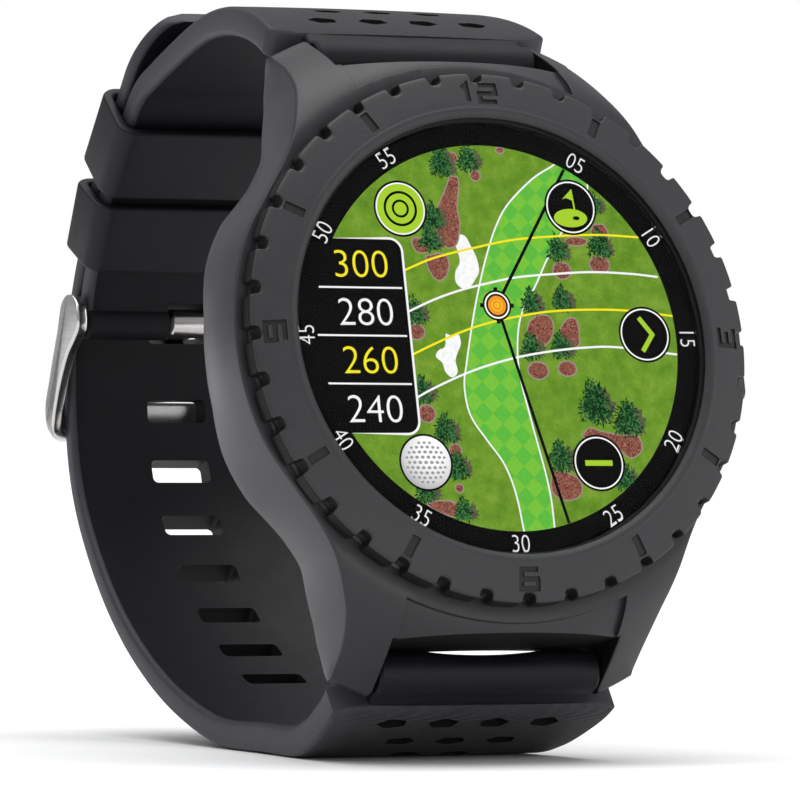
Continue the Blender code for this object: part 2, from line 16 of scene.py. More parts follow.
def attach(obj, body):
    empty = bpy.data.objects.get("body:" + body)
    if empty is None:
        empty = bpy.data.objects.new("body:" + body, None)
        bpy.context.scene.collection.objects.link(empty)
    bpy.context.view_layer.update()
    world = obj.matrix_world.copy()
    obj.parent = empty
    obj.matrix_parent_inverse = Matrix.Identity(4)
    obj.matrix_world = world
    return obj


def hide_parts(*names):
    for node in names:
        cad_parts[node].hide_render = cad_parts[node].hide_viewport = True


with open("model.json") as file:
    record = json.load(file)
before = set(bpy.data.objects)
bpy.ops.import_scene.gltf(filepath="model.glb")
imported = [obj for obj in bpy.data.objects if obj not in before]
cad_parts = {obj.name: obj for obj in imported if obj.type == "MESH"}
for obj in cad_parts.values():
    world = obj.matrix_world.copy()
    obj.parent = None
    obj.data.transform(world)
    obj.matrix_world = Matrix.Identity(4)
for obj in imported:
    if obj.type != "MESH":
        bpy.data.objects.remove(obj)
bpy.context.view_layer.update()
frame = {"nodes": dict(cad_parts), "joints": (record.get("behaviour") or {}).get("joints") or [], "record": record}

MM = 0.001
HEAD_BODY = "head_and_strap"
JOINTS = {joint["name"]: joint for joint in frame["joints"]}
ORIGIN = Vector(JOINTS["bezel_turn"]["pos_m"])
RIGHT = Vector((1, 0, 0))
DEPTH = -Vector(JOINTS["bezel_turn"]["axis"]).normalized()
UP = RIGHT.cross(DEPTH)
SLOT_OF = {sub["node"]: sub["material_slot"] for sub in frame["record"]["subparts"]}


def head(x, y, z):
    """A point of the head's frame, in the row frame."""
    return ORIGIN + (RIGHT * x + DEPTH * y + UP * z) * MM


def to_head(point):
    """A row-frame point in the head's frame, in millimetres."""
    away = (Vector(point) - ORIGIN) / MM
    return Vector((away.dot(RIGHT), away.dot(DEPTH), away.dot(UP)))


BUCKLE_PIN = to_head(JOINTS["buckle_swing"]["pos_m"])
ICONS = {"rings": (-8.4, 11.6), "flag": (8.4, 12.05), "next": (14.45, 0.4), "less": (8.5, -11.4),
         "ball": (-8.4, -11.4)}
ICON_R = 2.58


# ---------------------------------------------------------------- materials

class Nodes:
    """Short calls for building one material's node tree."""

    def __init__(self, name):
        self.mat = bpy.data.materials.new(name)
        self.mat.use_nodes = True
        self.tree = self.mat.node_tree
        self.shader = self.tree.nodes["Principled BSDF"]
        self.coords = self.add("ShaderNodeTexCoord").outputs["Object"]

    def add(self, kind, **inputs):
        node = self.tree.nodes.new(kind)
        for key, value in inputs.items():
            self.put(node.inputs[key.replace("_", " ")], value)
        return node

    def put(self, socket, value):
        if isinstance(value, bpy.types.NodeSocket):
            self.tree.links.new(value, socket)
        else:
            socket.default_value = value

    def set(self, **inputs):
        for key, value in inputs.items():
            self.put(self.shader.inputs[key.replace("_", " ")], value)

    def stretched(self, scale, rotation=(0, 0, 0)):
        node = self.add("ShaderNodeMapping", Vector=self.coords)
        node.inputs["Scale"].default_value = scale
        node.inputs["Rotation"].default_value = rotation
        return node.outputs["Vector"]

    def noise(self, scale, detail=4.0, vector=None, rough=0.55):
        node = self.add("ShaderNodeTexNoise", Vector=vector or self.coords, Scale=scale, Detail=detail,
                        Roughness=rough)
        return node.outputs["Fac"]

    def ramp(self, factor, stops):
        node = self.add("ShaderNodeValToRGB", Fac=factor)
        ramp = node.color_ramp
        while len(ramp.elements) < len(stops):
            ramp.elements.new(0.5)
        for element, (place, color) in zip(ramp.elements, stops):
            element.position = place
            element.color = (*color, 1.0)
        return node.outputs["Color"]

    def between(self, factor, low, high):
        node = self.add("ShaderNodeMapRange", Value=factor, To_Min=low, To_Max=high)
        return node.outputs["Result"]

    def bump(self, height, strength, depth, under=None):
        node = self.add("ShaderNodeBump", Height=height, Strength=strength, Distance=depth)
        if under:
            self.put(node.inputs["Normal"], under)
        return node.outputs["Normal"]


def shade(color, factor):
    return tuple(min(1.0, c * factor) for c in color)


def moulded(name, color, rough, grain=9000.0, grain_depth=0.00002, mottling=0.18, specular=0.4, edge=0.0):
    """Moulded plastic or rubber: a fine spark-eroded grain, faint mottling and uneven gloss."""
    n = Nodes(name)
    cloud = n.noise(420.0, 3.0)
    fine = n.noise(grain, 2.0)
    mix = n.add("ShaderNodeMath", Value=0.0)
    mix.operation = "MULTIPLY_ADD"
    n.put(mix.inputs[0], fine)
    mix.inputs[1].default_value = 0.45
    n.put(mix.inputs[2], n.between(cloud, 0.0, 0.55))
    color_socket = n.ramp(mix.outputs[0], [(0.25, shade(color, 1 - mottling)),
                                           (0.75, shade(color, 1 + mottling))])
    start = None
    if edge:
        node = n.add("ShaderNodeBevel", Radius=edge * MM)
        node.samples = 4
        start = node.outputs["Normal"]
    normal = n.bump(fine, 0.55, grain_depth, start)
    n.set(Base_Color=color_socket, Roughness=n.between(cloud, rough - 0.06, rough + 0.08), Normal=normal)
    n.set(**{"Specular_IOR_Level": specular})
    return n.mat


def brushed(name, color, rough, direction, metallic=1.0, streak=0.000012, specular=0.5):
    """Brushed metal or satin plastic: fine streaks along one direction."""
    n = Nodes(name)
    scale = [9000.0, 9000.0, 9000.0]
    scale[direction] = 350.0
    streaks = n.noise(1.0, 3.0, n.stretched(scale))
    cloud = n.noise(180.0, 2.0)
    color_socket = n.ramp(streaks, [(0.3, shade(color, 0.86)), (0.7, shade(color, 1.12))])
    n.set(Base_Color=color_socket, Metallic=metallic, Roughness=n.between(cloud, rough - 0.05, rough + 0.07),
          Normal=n.bump(streaks, 0.4, streak))
    n.set(**{"Specular_IOR_Level": specular})
    return n.mat


def lit(name, make_color):
    """A lit screen colour: the picture glows and hardly takes any light from outside."""
    n = Nodes(name)
    color = make_color(n)
    n.set(Emission_Color=color, Emission_Strength=1.0, Roughness=0.5, Base_Color=(0.002, 0.002, 0.002, 1))
    n.set(**{"Specular_IOR_Level": 0.0})
    return n.mat


def lit_flat(name, color):
    """One printed or lit colour with the faint pixel grain of a screen; a printed colour made with it glows, as
    painted light.
    """
    return lit(name, lambda n: n.ramp(n.noise(9000.0, 1.0),
                                      [(0.3, shade(color, 0.94)), (0.7, shade(color, 1.0))]))


def turf_color(n):
    """Rough grass: mottled patches under fine blades."""
    coarse = n.noise(700.0, 5.0)
    fine = n.noise(6500.0, 6.0, rough=0.7)
    total = n.add("ShaderNodeMath")
    total.operation = "MULTIPLY_ADD"
    n.put(total.inputs[0], fine)
    total.inputs[1].default_value = 0.5
    n.put(total.inputs[2], n.between(coarse, 0.0, 0.55))
    return n.ramp(total.outputs[0], [(0.32, (0.075, 0.185, 0.012)), (0.5, (0.135, 0.29, 0.02)),
                                     (0.7, (0.24, 0.39, 0.045))])


def fairway_color(n):
    """Mown fairway: a soft diamond check from the mower's passes."""
    flat = n.add("ShaderNodeMapping", Vector=n.coords)
    flat.inputs["Scale"].default_value = (780.0, 0.0, 780.0)
    flat.inputs["Rotation"].default_value = (0.0, math.radians(42), 0.0)
    flat.inputs["Location"].default_value = (0.0, 0.5, 0.0)
    check = n.add("ShaderNodeTexChecker", Vector=flat.outputs["Vector"], Scale=1.0)
    check.inputs["Color1"].default_value = (0.12, 0.53, 0.055, 1)
    check.inputs["Color2"].default_value = (0.205, 0.585, 0.05, 1)
    mix = n.add("ShaderNodeMix")
    mix.data_type = "RGBA"
    mix.blend_type = "MULTIPLY"
    mix.inputs["Factor"].default_value = 1.0
    n.put(mix.inputs["A"], check.outputs["Color"])
    n.put(mix.inputs["B"], n.ramp(n.noise(5200.0, 5.0), [(0.3, (0.86, 0.86, 0.86)), (0.7, (1.0, 1.0, 1.0))]))
    return mix.outputs["Result"]


def mulch_color(n):
    """Bark mulch: short red-brown fibres with dark gaps."""
    fibres = n.add("ShaderNodeTexNoise", Vector=n.coords, Scale=5200.0, Detail=3.0, Roughness=0.6,
                   Distortion=2.2)
    return n.ramp(fibres.outputs["Fac"], [(0.38, (0.05, 0.014, 0.01)), (0.48, (0.2, 0.06, 0.04)),
                                          (0.56, (0.36, 0.13, 0.09)), (0.68, (0.5, 0.23, 0.17))])


def leaf_color(dark, light):
    return lambda n: n.ramp(n.noise(4200.0, 5.0, rough=0.75), [(0.35, dark), (0.65, light)])


def sand_color(n):
    return n.ramp(n.noise(2500.0, 4.0), [(0.3, (0.86, 0.86, 0.86)), (0.6, (1.0, 1.0, 1.0))])


def ball_color(n):
    """A white ball lit from the upper left."""
    x, _, z = head(ICONS["ball"][0] + 0.6, 0, ICONS["ball"][1] + 0.9)
    reach = 1 / (4.4 * MM)
    place = n.add("ShaderNodeMapping", Vector=n.coords)
    place.inputs["Scale"].default_value = (reach, 0.0, reach)
    place.inputs["Location"].default_value = (-x * reach, 0.0, -z * reach)
    glow = n.add("ShaderNodeTexGradient", Vector=place.outputs["Vector"])
    glow.gradient_type = "SPHERICAL"
    return n.ramp(glow.outputs["Fac"], [(0.05, (0.22, 0.22, 0.23)), (0.4, (0.68, 0.68, 0.69)),
                                        (0.75, (1.0, 1.0, 1.0))])


def strap_outer_painted_light():
    """Outer face of the strap: fine wavy ribs across the rubber, with its colour lightened as painted light."""
    n = Nodes("strap_outer_painted_light")
    ribs = n.add("ShaderNodeTexWave", Vector=n.stretched((0.12, 1, 1)), Scale=2600.0, Distortion=2.6,
                 Detail=2.0)
    ribs.bands_direction = "DIAGONAL"
    ribs.inputs["Detail Scale"].default_value = 0.25
    cloud = n.noise(600.0, 4.0)
    fine = n.noise(7000.0, 2.0)
    lines = n.bump(ribs.outputs["Fac"], 1.0, 0.0001)
    n.set(Base_Color=n.ramp(cloud, [(0.3, (0.029, 0.029, 0.032)), (0.7, (0.041, 0.041, 0.045))]),
          Roughness=n.between(cloud, 0.55, 0.7), Normal=n.bump(fine, 0.7, 0.00006, lines))
    n.set(**{"Specular_IOR_Level": 0.35})
    return n.mat


def clear_glass():
    n = Nodes("cover_glass")
    smear = n.noise(60.0, 2.0)
    n.set(Base_Color=(1, 1, 1, 1), Roughness=n.between(smear, 0.0, 0.02), Transmission_Weight=1.0, IOR=1.14)
    n.set(**{"Specular_IOR_Level": 0.2})
    return n.mat


def board_material():
    """Solder mask with darker tracks under it."""
    n = Nodes("circuit_board")
    tracks = n.add("ShaderNodeTexVoronoi", Vector=n.coords, Scale=700.0)
    tracks.distance = "MANHATTAN"
    n.set(Base_Color=n.ramp(tracks.outputs["Distance"],
                            [(0.2, (0.01, 0.09, 0.03)), (0.45, (0.02, 0.17, 0.06))]),
          Roughness=n.between(n.noise(900.0), 0.3, 0.5),
          Normal=n.bump(tracks.outputs["Distance"], 0.3, 0.00003))
    return n.mat


MAT = {
    "case": moulded("case_satin", (0.0152, 0.0148, 0.0172), 0.43, 9000.0, 0.000014, 0.16, 0.42, 0.08),
    # A darker copy of the case plastic: painted shade on the wall between the lugs.
    "case_painted_shade": moulded("case_end_wall_painted_shade", (0.0045, 0.0045, 0.0052), 0.55, 9000.0, 0.00001, 0.16, 0.15),
    "flank": brushed("case_flank", (0.018, 0.017, 0.0225), 0.36, 0, 0.0, 0.000004, 0.6),
    "bezel": moulded("bezel_grain", (0.0175, 0.018, 0.0195), 0.5, 6500.0, 0.00005, 0.24, 0.42, 0.06),
    # A darker copy of the bezel plastic: painted shade in the engraved marks.
    "bezel_mark_painted_shade": moulded("bezel_mark_painted_shade", (0.0105, 0.0108, 0.0118), 0.55, 6500.0, 0.00003, 0.2, 0.3),
    # A darker copy of the bezel plastic: painted shade on the rim's wall and in the notches.
    "bezel_wall_painted_shade": moulded("bezel_wall_painted_shade", (0.006, 0.006, 0.0065), 0.55, 6500.0, 0.00002, 0.2, 0.15),
    "strap_inner": moulded("strap_inner", (0.0045, 0.0048, 0.0064), 0.52, 5200.0, 0.00001, 0.2, 0.2),
    # A lighter copy of the strap rubber for its sides: painted light.
    "strap_side": moulded("strap_side", (0.025, 0.025, 0.032), 0.5, 6500.0, 0.00007, 0.34, 0.4),
    # A darker copy of the strap rubber: painted shade in the dimple pits.
    "strap_pit_painted_shade": moulded("strap_pit_painted_shade", (0.0045, 0.0045, 0.005), 0.7, 5200.0, 0.00002, 0.3, 0.08),
    # The outer face's rubber is lightened: painted light.
    "strap_outer_painted_light": strap_outer_painted_light(),
    "keeper": moulded("keeper_rubber", (0.0075, 0.0077, 0.0098), 0.5, 5200.0, 0.00002, 0.18, 0.25),
    "seal": moulded("seal_rubber", (0.004, 0.004, 0.004), 0.7),
    "steel": brushed("brushed_steel", (0.47, 0.46, 0.46), 0.3, 1),
    "polished": brushed("polished_steel", (0.6, 0.58, 0.56), 0.2, 2, 1.0, 0.000004),
    "glass": clear_glass(),
    "ring": moulded("dial_ring", (0.0012, 0.0012, 0.0016), 0.4, 9000.0, 0.000003, 0.1, 0.04),
    "inner": moulded("inner_plastic", (0.05, 0.05, 0.055), 0.5, 5200.0),
    "cover": moulded("rear_cover_plastic", (0.02, 0.02, 0.022), 0.45, 5200.0, 0.00002),
    "board": board_material(),
    "foil": brushed("foil", (0.5, 0.5, 0.52), 0.35, 0, 0.8),
    "gold": brushed("gold_plate", (0.72, 0.5, 0.18), 0.25, 2),
    "turf": lit("map_turf", turf_color),
    "fairway": lit("map_fairway", fairway_color),
    "mulch": lit("map_mulch", mulch_color),
    "tree": lit("map_tree", leaf_color((0.0015, 0.012, 0.003), (0.008, 0.05, 0.012))),
    "needle": lit("map_needle", leaf_color((0.007, 0.05, 0.013), (0.022, 0.11, 0.03))),
    "needle_tip": lit("map_needle_tip", leaf_color((0.03, 0.14, 0.035), (0.075, 0.23, 0.065))),
    "rim": lit_flat("map_mulch_rim", (0.36, 0.27, 0.25)),
    "sand": lit("map_sand", sand_color),
    "ball": lit("icon_ball", ball_color),
    "tree_shadow": lit("map_shadow", leaf_color((0.07, 0.085, 0.035), (0.13, 0.13, 0.075))),
    "white": lit_flat("screen_white", (0.95, 0.95, 0.95)),
    # The minute numbers printed on the dial ring glow: painted light.
    "print": lit_flat("printed_white_painted_glow", (0.86, 0.86, 0.86)),
    "yellow": lit_flat("screen_yellow", (0.95, 0.82, 0.02)),
    "lime": lit_flat("screen_lime", (0.4, 0.66, 0.03)),
    "orange": lit_flat("screen_orange", (0.95, 0.33, 0.02)),
    "black": lit_flat("screen_black", (0.002, 0.002, 0.002)),
    "grey": lit_flat("screen_grey", (0.33, 0.33, 0.34)),
}


# ---------------------------------------------------------------- mesh helpers

def piece(name, verts, faces, slot, mats, body=HEAD_BODY, angle=35.0, face_mats=None, lift=head):
    """A new mesh object from head-frame points; it rides on a body, and the slot argument is not used."""
    mesh = bpy.data.meshes.new(name)
    mesh.from_pydata([lift(*v) for v in verts], [], faces)
    return settle(name, mesh, slot, mats, body, angle, face_mats)


def settle(name, mesh, slot, mats, body=HEAD_BODY, angle=35.0, face_mats=None, merge=0.0000005):
    work = bmesh.new()
    work.from_mesh(mesh)
    if face_mats:
        for face, index in zip(work.faces, face_mats):
            face.material_index = index
    bmesh.ops.remove_doubles(work, verts=work.verts, dist=merge)
    bmesh.ops.recalc_face_normals(work, faces=work.faces)
    work.to_mesh(mesh)
    work.free()
    for key in ([mats] if isinstance(mats, str) else mats):
        mesh.materials.append(MAT[key])
    obj = bpy.data.objects.new(name, mesh)
    bpy.context.scene.collection.objects.link(obj)
    mesh.shade_smooth()
    mesh.set_sharp_from_angle(angle=math.radians(angle))
    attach(obj, body)
    return obj


def grid_faces(rows, cols, wrap_rows=False, wrap_cols=False, start=0):
    """Quads over a grid of points stored row by row."""
    faces = []
    for r in range(rows if wrap_rows else rows - 1):
        for c in range(cols if wrap_cols else cols - 1):
            a = start + r * cols + c
            b = start + r * cols + (c + 1) % cols
            d = start + (r + 1) % rows * cols + c
            e = start + (r + 1) % rows * cols + (c + 1) % cols
            faces.append((a, b, e, d))
    return faces


def end_caps(verts, count):
    """The first and the last ring of a loft as faces."""
    return [tuple(range(count)), tuple(range(len(verts) - count, len(verts)))]


def ring_points(steps, radius):
    """Points round a circle of one radius, as pairs."""
    return [(radius * math.cos(2 * math.pi * k / steps), radius * math.sin(2 * math.pi * k / steps))
            for k in range(steps)]


def turned_mesh(profile, steps=128, closed=True):
    """Points and quads of a (radius, depth) profile turned about the dial's axis."""
    verts = []
    for k in range(steps):
        a = 2 * math.pi * k / steps
        verts += [(r * math.sin(a), y, r * math.cos(a)) for r, y in profile]
    return verts, grid_faces(steps, len(profile), True, closed)


def spline(points, step):
    """A smooth curve through 2D points, resampled at about equal steps."""
    dense = []
    padded = [2 * Vector(points[0]) - Vector(points[1])] + [Vector(p) for p in points]
    padded.append(2 * Vector(points[-1]) - Vector(points[-2]))
    for p0, p1, p2, p3 in zip(padded, padded[1:], padded[2:], padded[3:]):
        for k in range(16):
            t = k / 16
            dense.append(0.5 * ((2 * p1) + (p2 - p0) * t + (2 * p0 - 5 * p1 + 4 * p2 - p3) * t * t
                                + (3 * p1 - p0 - 3 * p2 + p3) * t ** 3))
    dense.append(Vector(points[-1]))
    reach = [0.0]
    for a, b in zip(dense, dense[1:]):
        reach.append(reach[-1] + (b - a).length)
    count = max(2, round(reach[-1] / step))
    out, j = [], 0
    for k in range(count + 1):
        want = reach[-1] * k / count
        while j < len(dense) - 2 and reach[j + 1] < want:
            j += 1
        share = (want - reach[j]) / max(reach[j + 1] - reach[j], 1e-9)
        out.append(dense[j].lerp(dense[j + 1], min(max(share, 0), 1)))
    return out


def cut(obj, cutters, slot=-1):
    """Cuts closed meshes out of a piece and applies the result; slot is the material of the cut faces."""
    world = []
    for verts, faces, lift in cutters:
        mesh = bpy.data.meshes.new("cutter")
        mesh.from_pydata([lift(*v) for v in verts], [], faces)
        work = bmesh.new()
        work.from_mesh(mesh)
        bmesh.ops.recalc_face_normals(work, faces=work.faces)
        world.append((work, mesh))
    joined = bmesh.new()
    for work, mesh in world:
        work.to_mesh(mesh)
        work.free()
        joined.from_mesh(mesh)
    merged = bpy.data.meshes.new("cutters")
    joined.to_mesh(merged)
    joined.free()
    tool = bpy.data.objects.new("cutters", merged)
    bpy.context.scene.collection.objects.link(tool)
    for mat in obj.data.materials:
        merged.materials.append(mat)
    for poly in merged.polygons:
        poly.material_index = slot % len(obj.data.materials)
    mod = obj.modifiers.new("cut", "BOOLEAN")
    mod.operation = "DIFFERENCE"
    mod.solver = "EXACT"
    mod.object = tool
    bpy.context.view_layer.update()
    result = bpy.data.meshes.new_from_object(obj.evaluated_get(bpy.context.evaluated_depsgraph_get()))
    obj.modifiers.clear()
    obj.data = result
    bpy.data.objects.remove(tool, do_unlink=True)
    result.shade_smooth()
    result.set_sharp_from_angle(angle=math.radians(35))
    return obj


def box_mesh(size, centre, turn=0.0):
    """A box in the head's frame, turned about x."""
    sx, sy, sz = (s / 2 for s in size)
    c, s = math.cos(turn), math.sin(turn)
    verts = []
    for x in (-sx, sx):
        for y, z in ((-sy, -sz), (sy, -sz), (sy, sz), (-sy, sz)):
            verts.append((centre[0] + x, centre[1] + y * c - z * s, centre[2] + y * s + z * c))
    faces = [(0, 1, 2, 3), (7, 6, 5, 4), (0, 4, 5, 1), (1, 5, 6, 2), (2, 6, 7, 3), (3, 7, 4, 0)]
    return verts, faces


def prism(outline, low, high, place):
    """A closed prism over a flat outline; place(u, v, w) gives the head-frame point."""
    count = len(outline)
    verts = [place(u, v, low) for u, v in outline] + [place(u, v, high) for u, v in outline]
    faces = [tuple(range(count))[::-1], tuple(range(count, 2 * count))]
    faces += [(k, (k + 1) % count, (k + 1) % count + count, k + count) for k in range(count)]
    return verts, faces


def rounded_rect(half_u, half_v, radius, steps=5):
    """Outline of a rectangle with round corners, anticlockwise."""
    points = []
    for cu, cv, first in ((half_u - radius, half_v - radius, 0), (radius - half_u, half_v - radius, 90),
                          (radius - half_u, radius - half_v, 180), (half_u - radius, radius - half_v, 270)):
        for k in range(steps + 1):
            a = math.radians(first + 90 * k / steps)
            points.append((cu + radius * math.cos(a), cv + radius * math.sin(a)))
    return points


# ---------------------------------------------------------------- case

LUG_X = 11.1                       # inner wall of a lug
BAR = (10.6, 28.0)                 # depth and height of a spring bar
BAR_BORE = 0.95
TIP_R = 32.05
END_Z = 26.1                       # wall between the lugs
SEAT_R = 23.2
SEAT_STEPS = 144                   # points round the seat of the rear cover
DOME = [(20.0, 1.95), (24.3, 1.95), (25.0, 1.98), (25.7, 2.12), (26.4, 2.6), (27.3, 3.5), (28.2, 4.6),
        (29.2, 6.0), (30.3, 7.7), (31.3, 9.4), (32.1, 10.8)]
UNDER = [(20.0, 10.7), (24.0, 10.7), (24.9, 10.15), (26.8, 11.4), (29.0, 12.4), (31.0, 12.4), (32.1, 11.8)]
FLANK = [(24.7, 0), (24.62, 2.0), (24.35, 4.2), (23.9, 6.3), (23.2, 8.5), (22.3, 10.4), (21.1, 12.3),
         (19.9, 14.1), (18.8, 15.8), (17.9, 17.4), (17.2, 18.9), (16.6, 20.5), (16.0, 22.1), (15.4, 23.7),
         (15.05, 25.1), (14.8, 26.6), (14.78, 28.45)]
FLARE = [(0, -0.55), (4, -0.5), (8, 0.15), (12.5, 0.6), (15.7, -0.25), (18.6, -0.45), (22, -0.1), (25.5, 0.3),
         (30, 0.0)]


def along(table, value):
    """Straight-line reading of a table of pairs."""
    if value <= table[0][0]:
        return table[0][1]
    for (a, fa), (b, fb) in zip(table, table[1:]):
        if value <= b:
            return fa + (fb - fa) * (value - a) / (b - a)
    return table[-1][1]


def smooth_along(table, value):
    """A softened reading of a table, for surfaces that must not show its corners."""
    spread = 0.5
    return sum(along(table, value + spread * k) for k in (-1, -0.5, 0, 0.5, 1)) / 5


def quarter_outline():
    """Upper right quarter of the case's outline: from 3 o'clock round a lug to 12 o'clock."""
    flank = [(p.x, p.y) for p in spline(FLANK, 0.45)]
    tip = []
    a0 = math.atan2(28.45, 14.78)
    a1 = math.acos((LUG_X + 0.25) / TIP_R)
    for k in range(1, 9):
        a = a0 + (a1 - a0) * k / 8
        tip.append((TIP_R * math.cos(a), TIP_R * math.sin(a)))
    wall_top = math.sqrt(TIP_R ** 2 - LUG_X ** 2) - 0.3
    inner = [(LUG_X, wall_top - (wall_top - END_Z) * k / 8) for k in range(9)]
    end = [(LUG_X * (1 - k / 20), END_Z) for k in range(1, 20)]
    return flank + tip + inner + end


def whole_outline():
    quarter = quarter_outline()
    top = quarter + [(0.0, END_Z)] + [(-x, z) for x, z in reversed(quarter[1:])] + [(-quarter[0][0], 0.0)]
    return top + [(x, -z) for x, z in reversed(top[1:-1])]


def inset(outline, amount):
    """The outline moved inwards by amount."""
    out = []
    count = len(outline)
    for k, (x, z) in enumerate(outline):
        a = Vector(outline[k - 1])
        b = Vector(outline[(k + 1) % count])
        here = Vector((x, z))
        before = (here - a).normalized()
        after = (b - here).normalized()
        normal = Vector((before.y + after.y, -before.x - after.x))
        normal /= max(normal.length_squared / 2, 0.6) if normal.length > 1e-6 else 1
        out.append((x - normal.x * amount, z - normal.y * amount))
    return out


def cap_surface(loop, radius, height):
    """Fills between a loop of points and the seat circle; height(r) gives the depth."""
    ring = ring_points(SEAT_STEPS, radius)
    points = [Vector(p) for p in loop] + [Vector(p) for p in ring]
    n = len(loop)
    edges = [(k, (k + 1) % n) for k in range(n)]
    edges += [(n + k, n + (k + 1) % SEAT_STEPS) for k in range(SEAT_STEPS)]
    spacing = 0.8
    reach = int(33 / spacing)
    for i in range(-reach, reach + 1):
        for j in range(-reach, reach + 1):
            x = (i + 0.5 * (j % 2)) * spacing
            z = j * spacing * 0.87
            r = math.hypot(x, z)
            if r > radius + 0.5 and inside(loop, x, z, 0.45):
                points.append(Vector((x, z)))
    verts, _, faces, *_ = geometry.delaunay_2d_cdt(points, edges, [], 0, 0.00001)
    out_faces = []
    for face in faces:
        cx = sum(verts[i].x for i in face) / 3
        cz = sum(verts[i].y for i in face) / 3
        if math.hypot(cx, cz) > radius * 0.9995 and inside(loop, cx, cz, 0.0):
            out_faces.append(tuple(face))
    return [(v.x, height(math.hypot(v.x, v.y)), v.y) for v in verts], out_faces


def inside(loop, x, z, margin):
    """Whether a point is inside a closed loop and at least margin away from it."""
    hit = False
    count = len(loop)
    for k in range(count):
        ax, az = loop[k]
        bx, bz = loop[(k + 1) % count]
        if (az > z) != (bz > z) and x < (bx - ax) * (z - az) / (bz - az) + ax:
            hit = not hit
        if margin and (ax - x) ** 2 + (az - z) ** 2 < margin ** 2:
            return False
    return hit


def case_shell():
    outline = whole_outline()
    count = len(outline)
    verts, faces, tags = [], [], []
    loops = []
    round_front, round_back = 0.22, 0.5
    front = lambda x, z: smooth_along(DOME, math.hypot(x, z))
    back = lambda x, z: smooth_along(UNDER, math.hypot(x, z))
    flare = []
    for x, z in outline:
        on_flank = abs(x) > LUG_X + 1.5 and math.hypot(x, z) < TIP_R - 0.3
        flare.append(smooth_along(FLARE, abs(z)) if on_flank else 0.0)
    steps = 5
    for k in range(steps + 1):
        a = math.pi / 2 * k / steps
        loop = inset(outline, round_front * (1 - math.sin(a)))
        loops.append([(x, front(x, z) + round_front * (1 - math.cos(a)), z) for x, z in loop])
    bands = 7
    for k in range(1, bands):
        t = k / bands
        rows = []
        for (x, z), grow in zip(outline, flare):
            y0 = front(x, z) + round_front
            y1 = back(x, z) - round_back
            r = math.hypot(x, z)
            out = grow * t * t + 0.22 * math.sin(math.pi * t) * (1 if grow else 0)
            rows.append((x + out * x / r, y0 + (y1 - y0) * t, z + out * z / r * 0.3))
        loops.append(rows)
    back_outline = []
    for (x, z), grow in zip(outline, flare):
        r = math.hypot(x, z)
        back_outline.append((x + grow * x / r, z + grow * z / r * 0.3))
    for k in range(steps + 1):
        a = math.pi / 2 * k / steps
        loop = inset(back_outline, round_back * (1 - math.cos(a)))
        loops.append([(x, back(x, z) - round_back * (1 - math.sin(a)), z) for x, z in loop])
    for loop in loops:
        verts += loop
    band_faces = grid_faces(len(loops), count, False, True)
    faces += band_faces
    for index in range(len(band_faces)):
        row = index // count
        x, z = outline[index % count]
        flank = steps <= row < steps + bands and abs(x) > LUG_X + 1.5 and math.hypot(x, z) < TIP_R - 0.3
        # The wall between the lugs takes the darker case colour, as painted shade.
        painted_shade_wall = row >= steps and abs(x) < LUG_X + 0.05 and abs(z) > END_Z - 0.6
        tags.append(1 if flank else 2 if painted_shade_wall else 0)
    for loop, height in ((loops[0], front), (loops[-1], back)):
        flat = [(x, z) for x, _, z in loop]
        more, tris = cap_surface(flat, SEAT_R, lambda r: height(r, 0))
        base = len(verts)
        verts += more
        faces += [tuple(base + i for i in tri) for tri in tris]
        tags += [0] * len(tris)
    ring = [(SEAT_R, 1.95), (21.4, 1.95), (21.4, -0.1), (21.3, -0.2), (20.35, -0.2), (20.25, -0.1),
            (20.25, 3.0),
            (20.9, 3.0), (20.9, 9.9), (SEAT_R, 9.9), (SEAT_R, 10.7)]
    inner = []
    for c, s in ring_points(SEAT_STEPS, 1.0):
        inner += [(r * c, y, r * s) for r, y in ring]
    base = len(verts)
    verts += inner
    more = grid_faces(SEAT_STEPS, len(ring), True, False, base)
    faces += more
    tags += [0] * len(more)
    case = piece("case_shell", verts, faces, "case_plastic", ["case", "flank", "case_painted_shade", "case"],
                 face_mats=tags)
    settle_merge(case)
    cutters = [panel_cutter(side) for side in (1, -1)]
    pocket = rounded_rect(2.3, 5.0, 0.9)
    cutters.append((*prism(pocket, 23.0, 30.0, lambda u, v, w: (w, 5.6 + u, v)), head))
    for side in (1, -1):
        hole = circle(0, 0, BAR_BORE, steps=24)
        cutters.append((*prism(hole, -13.0, 13.0, lambda u, v, w, s=side: (w, BAR[0] + u, s * BAR[1] + v)),
                        head))
    for k in range(4):
        a = math.radians(45 + 90 * k)
        cx, cz = 21.9 * math.sin(a), 21.9 * math.cos(a)
        hole = ring_points(16, 0.65)
        cutters.append((*prism(hole, 7.2, 11.0, lambda u, v, w, cx=cx, cz=cz: (cx + u, w, cz + v)), head))
    cut(case, cutters)
    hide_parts("case_body")


def settle_merge(obj):
    work = bmesh.new()
    work.from_mesh(obj.data)
    bmesh.ops.remove_doubles(work, verts=work.verts, dist=0.00003)
    bmesh.ops.recalc_face_normals(work, faces=work.faces)
    work.to_mesh(obj.data)
    work.free()


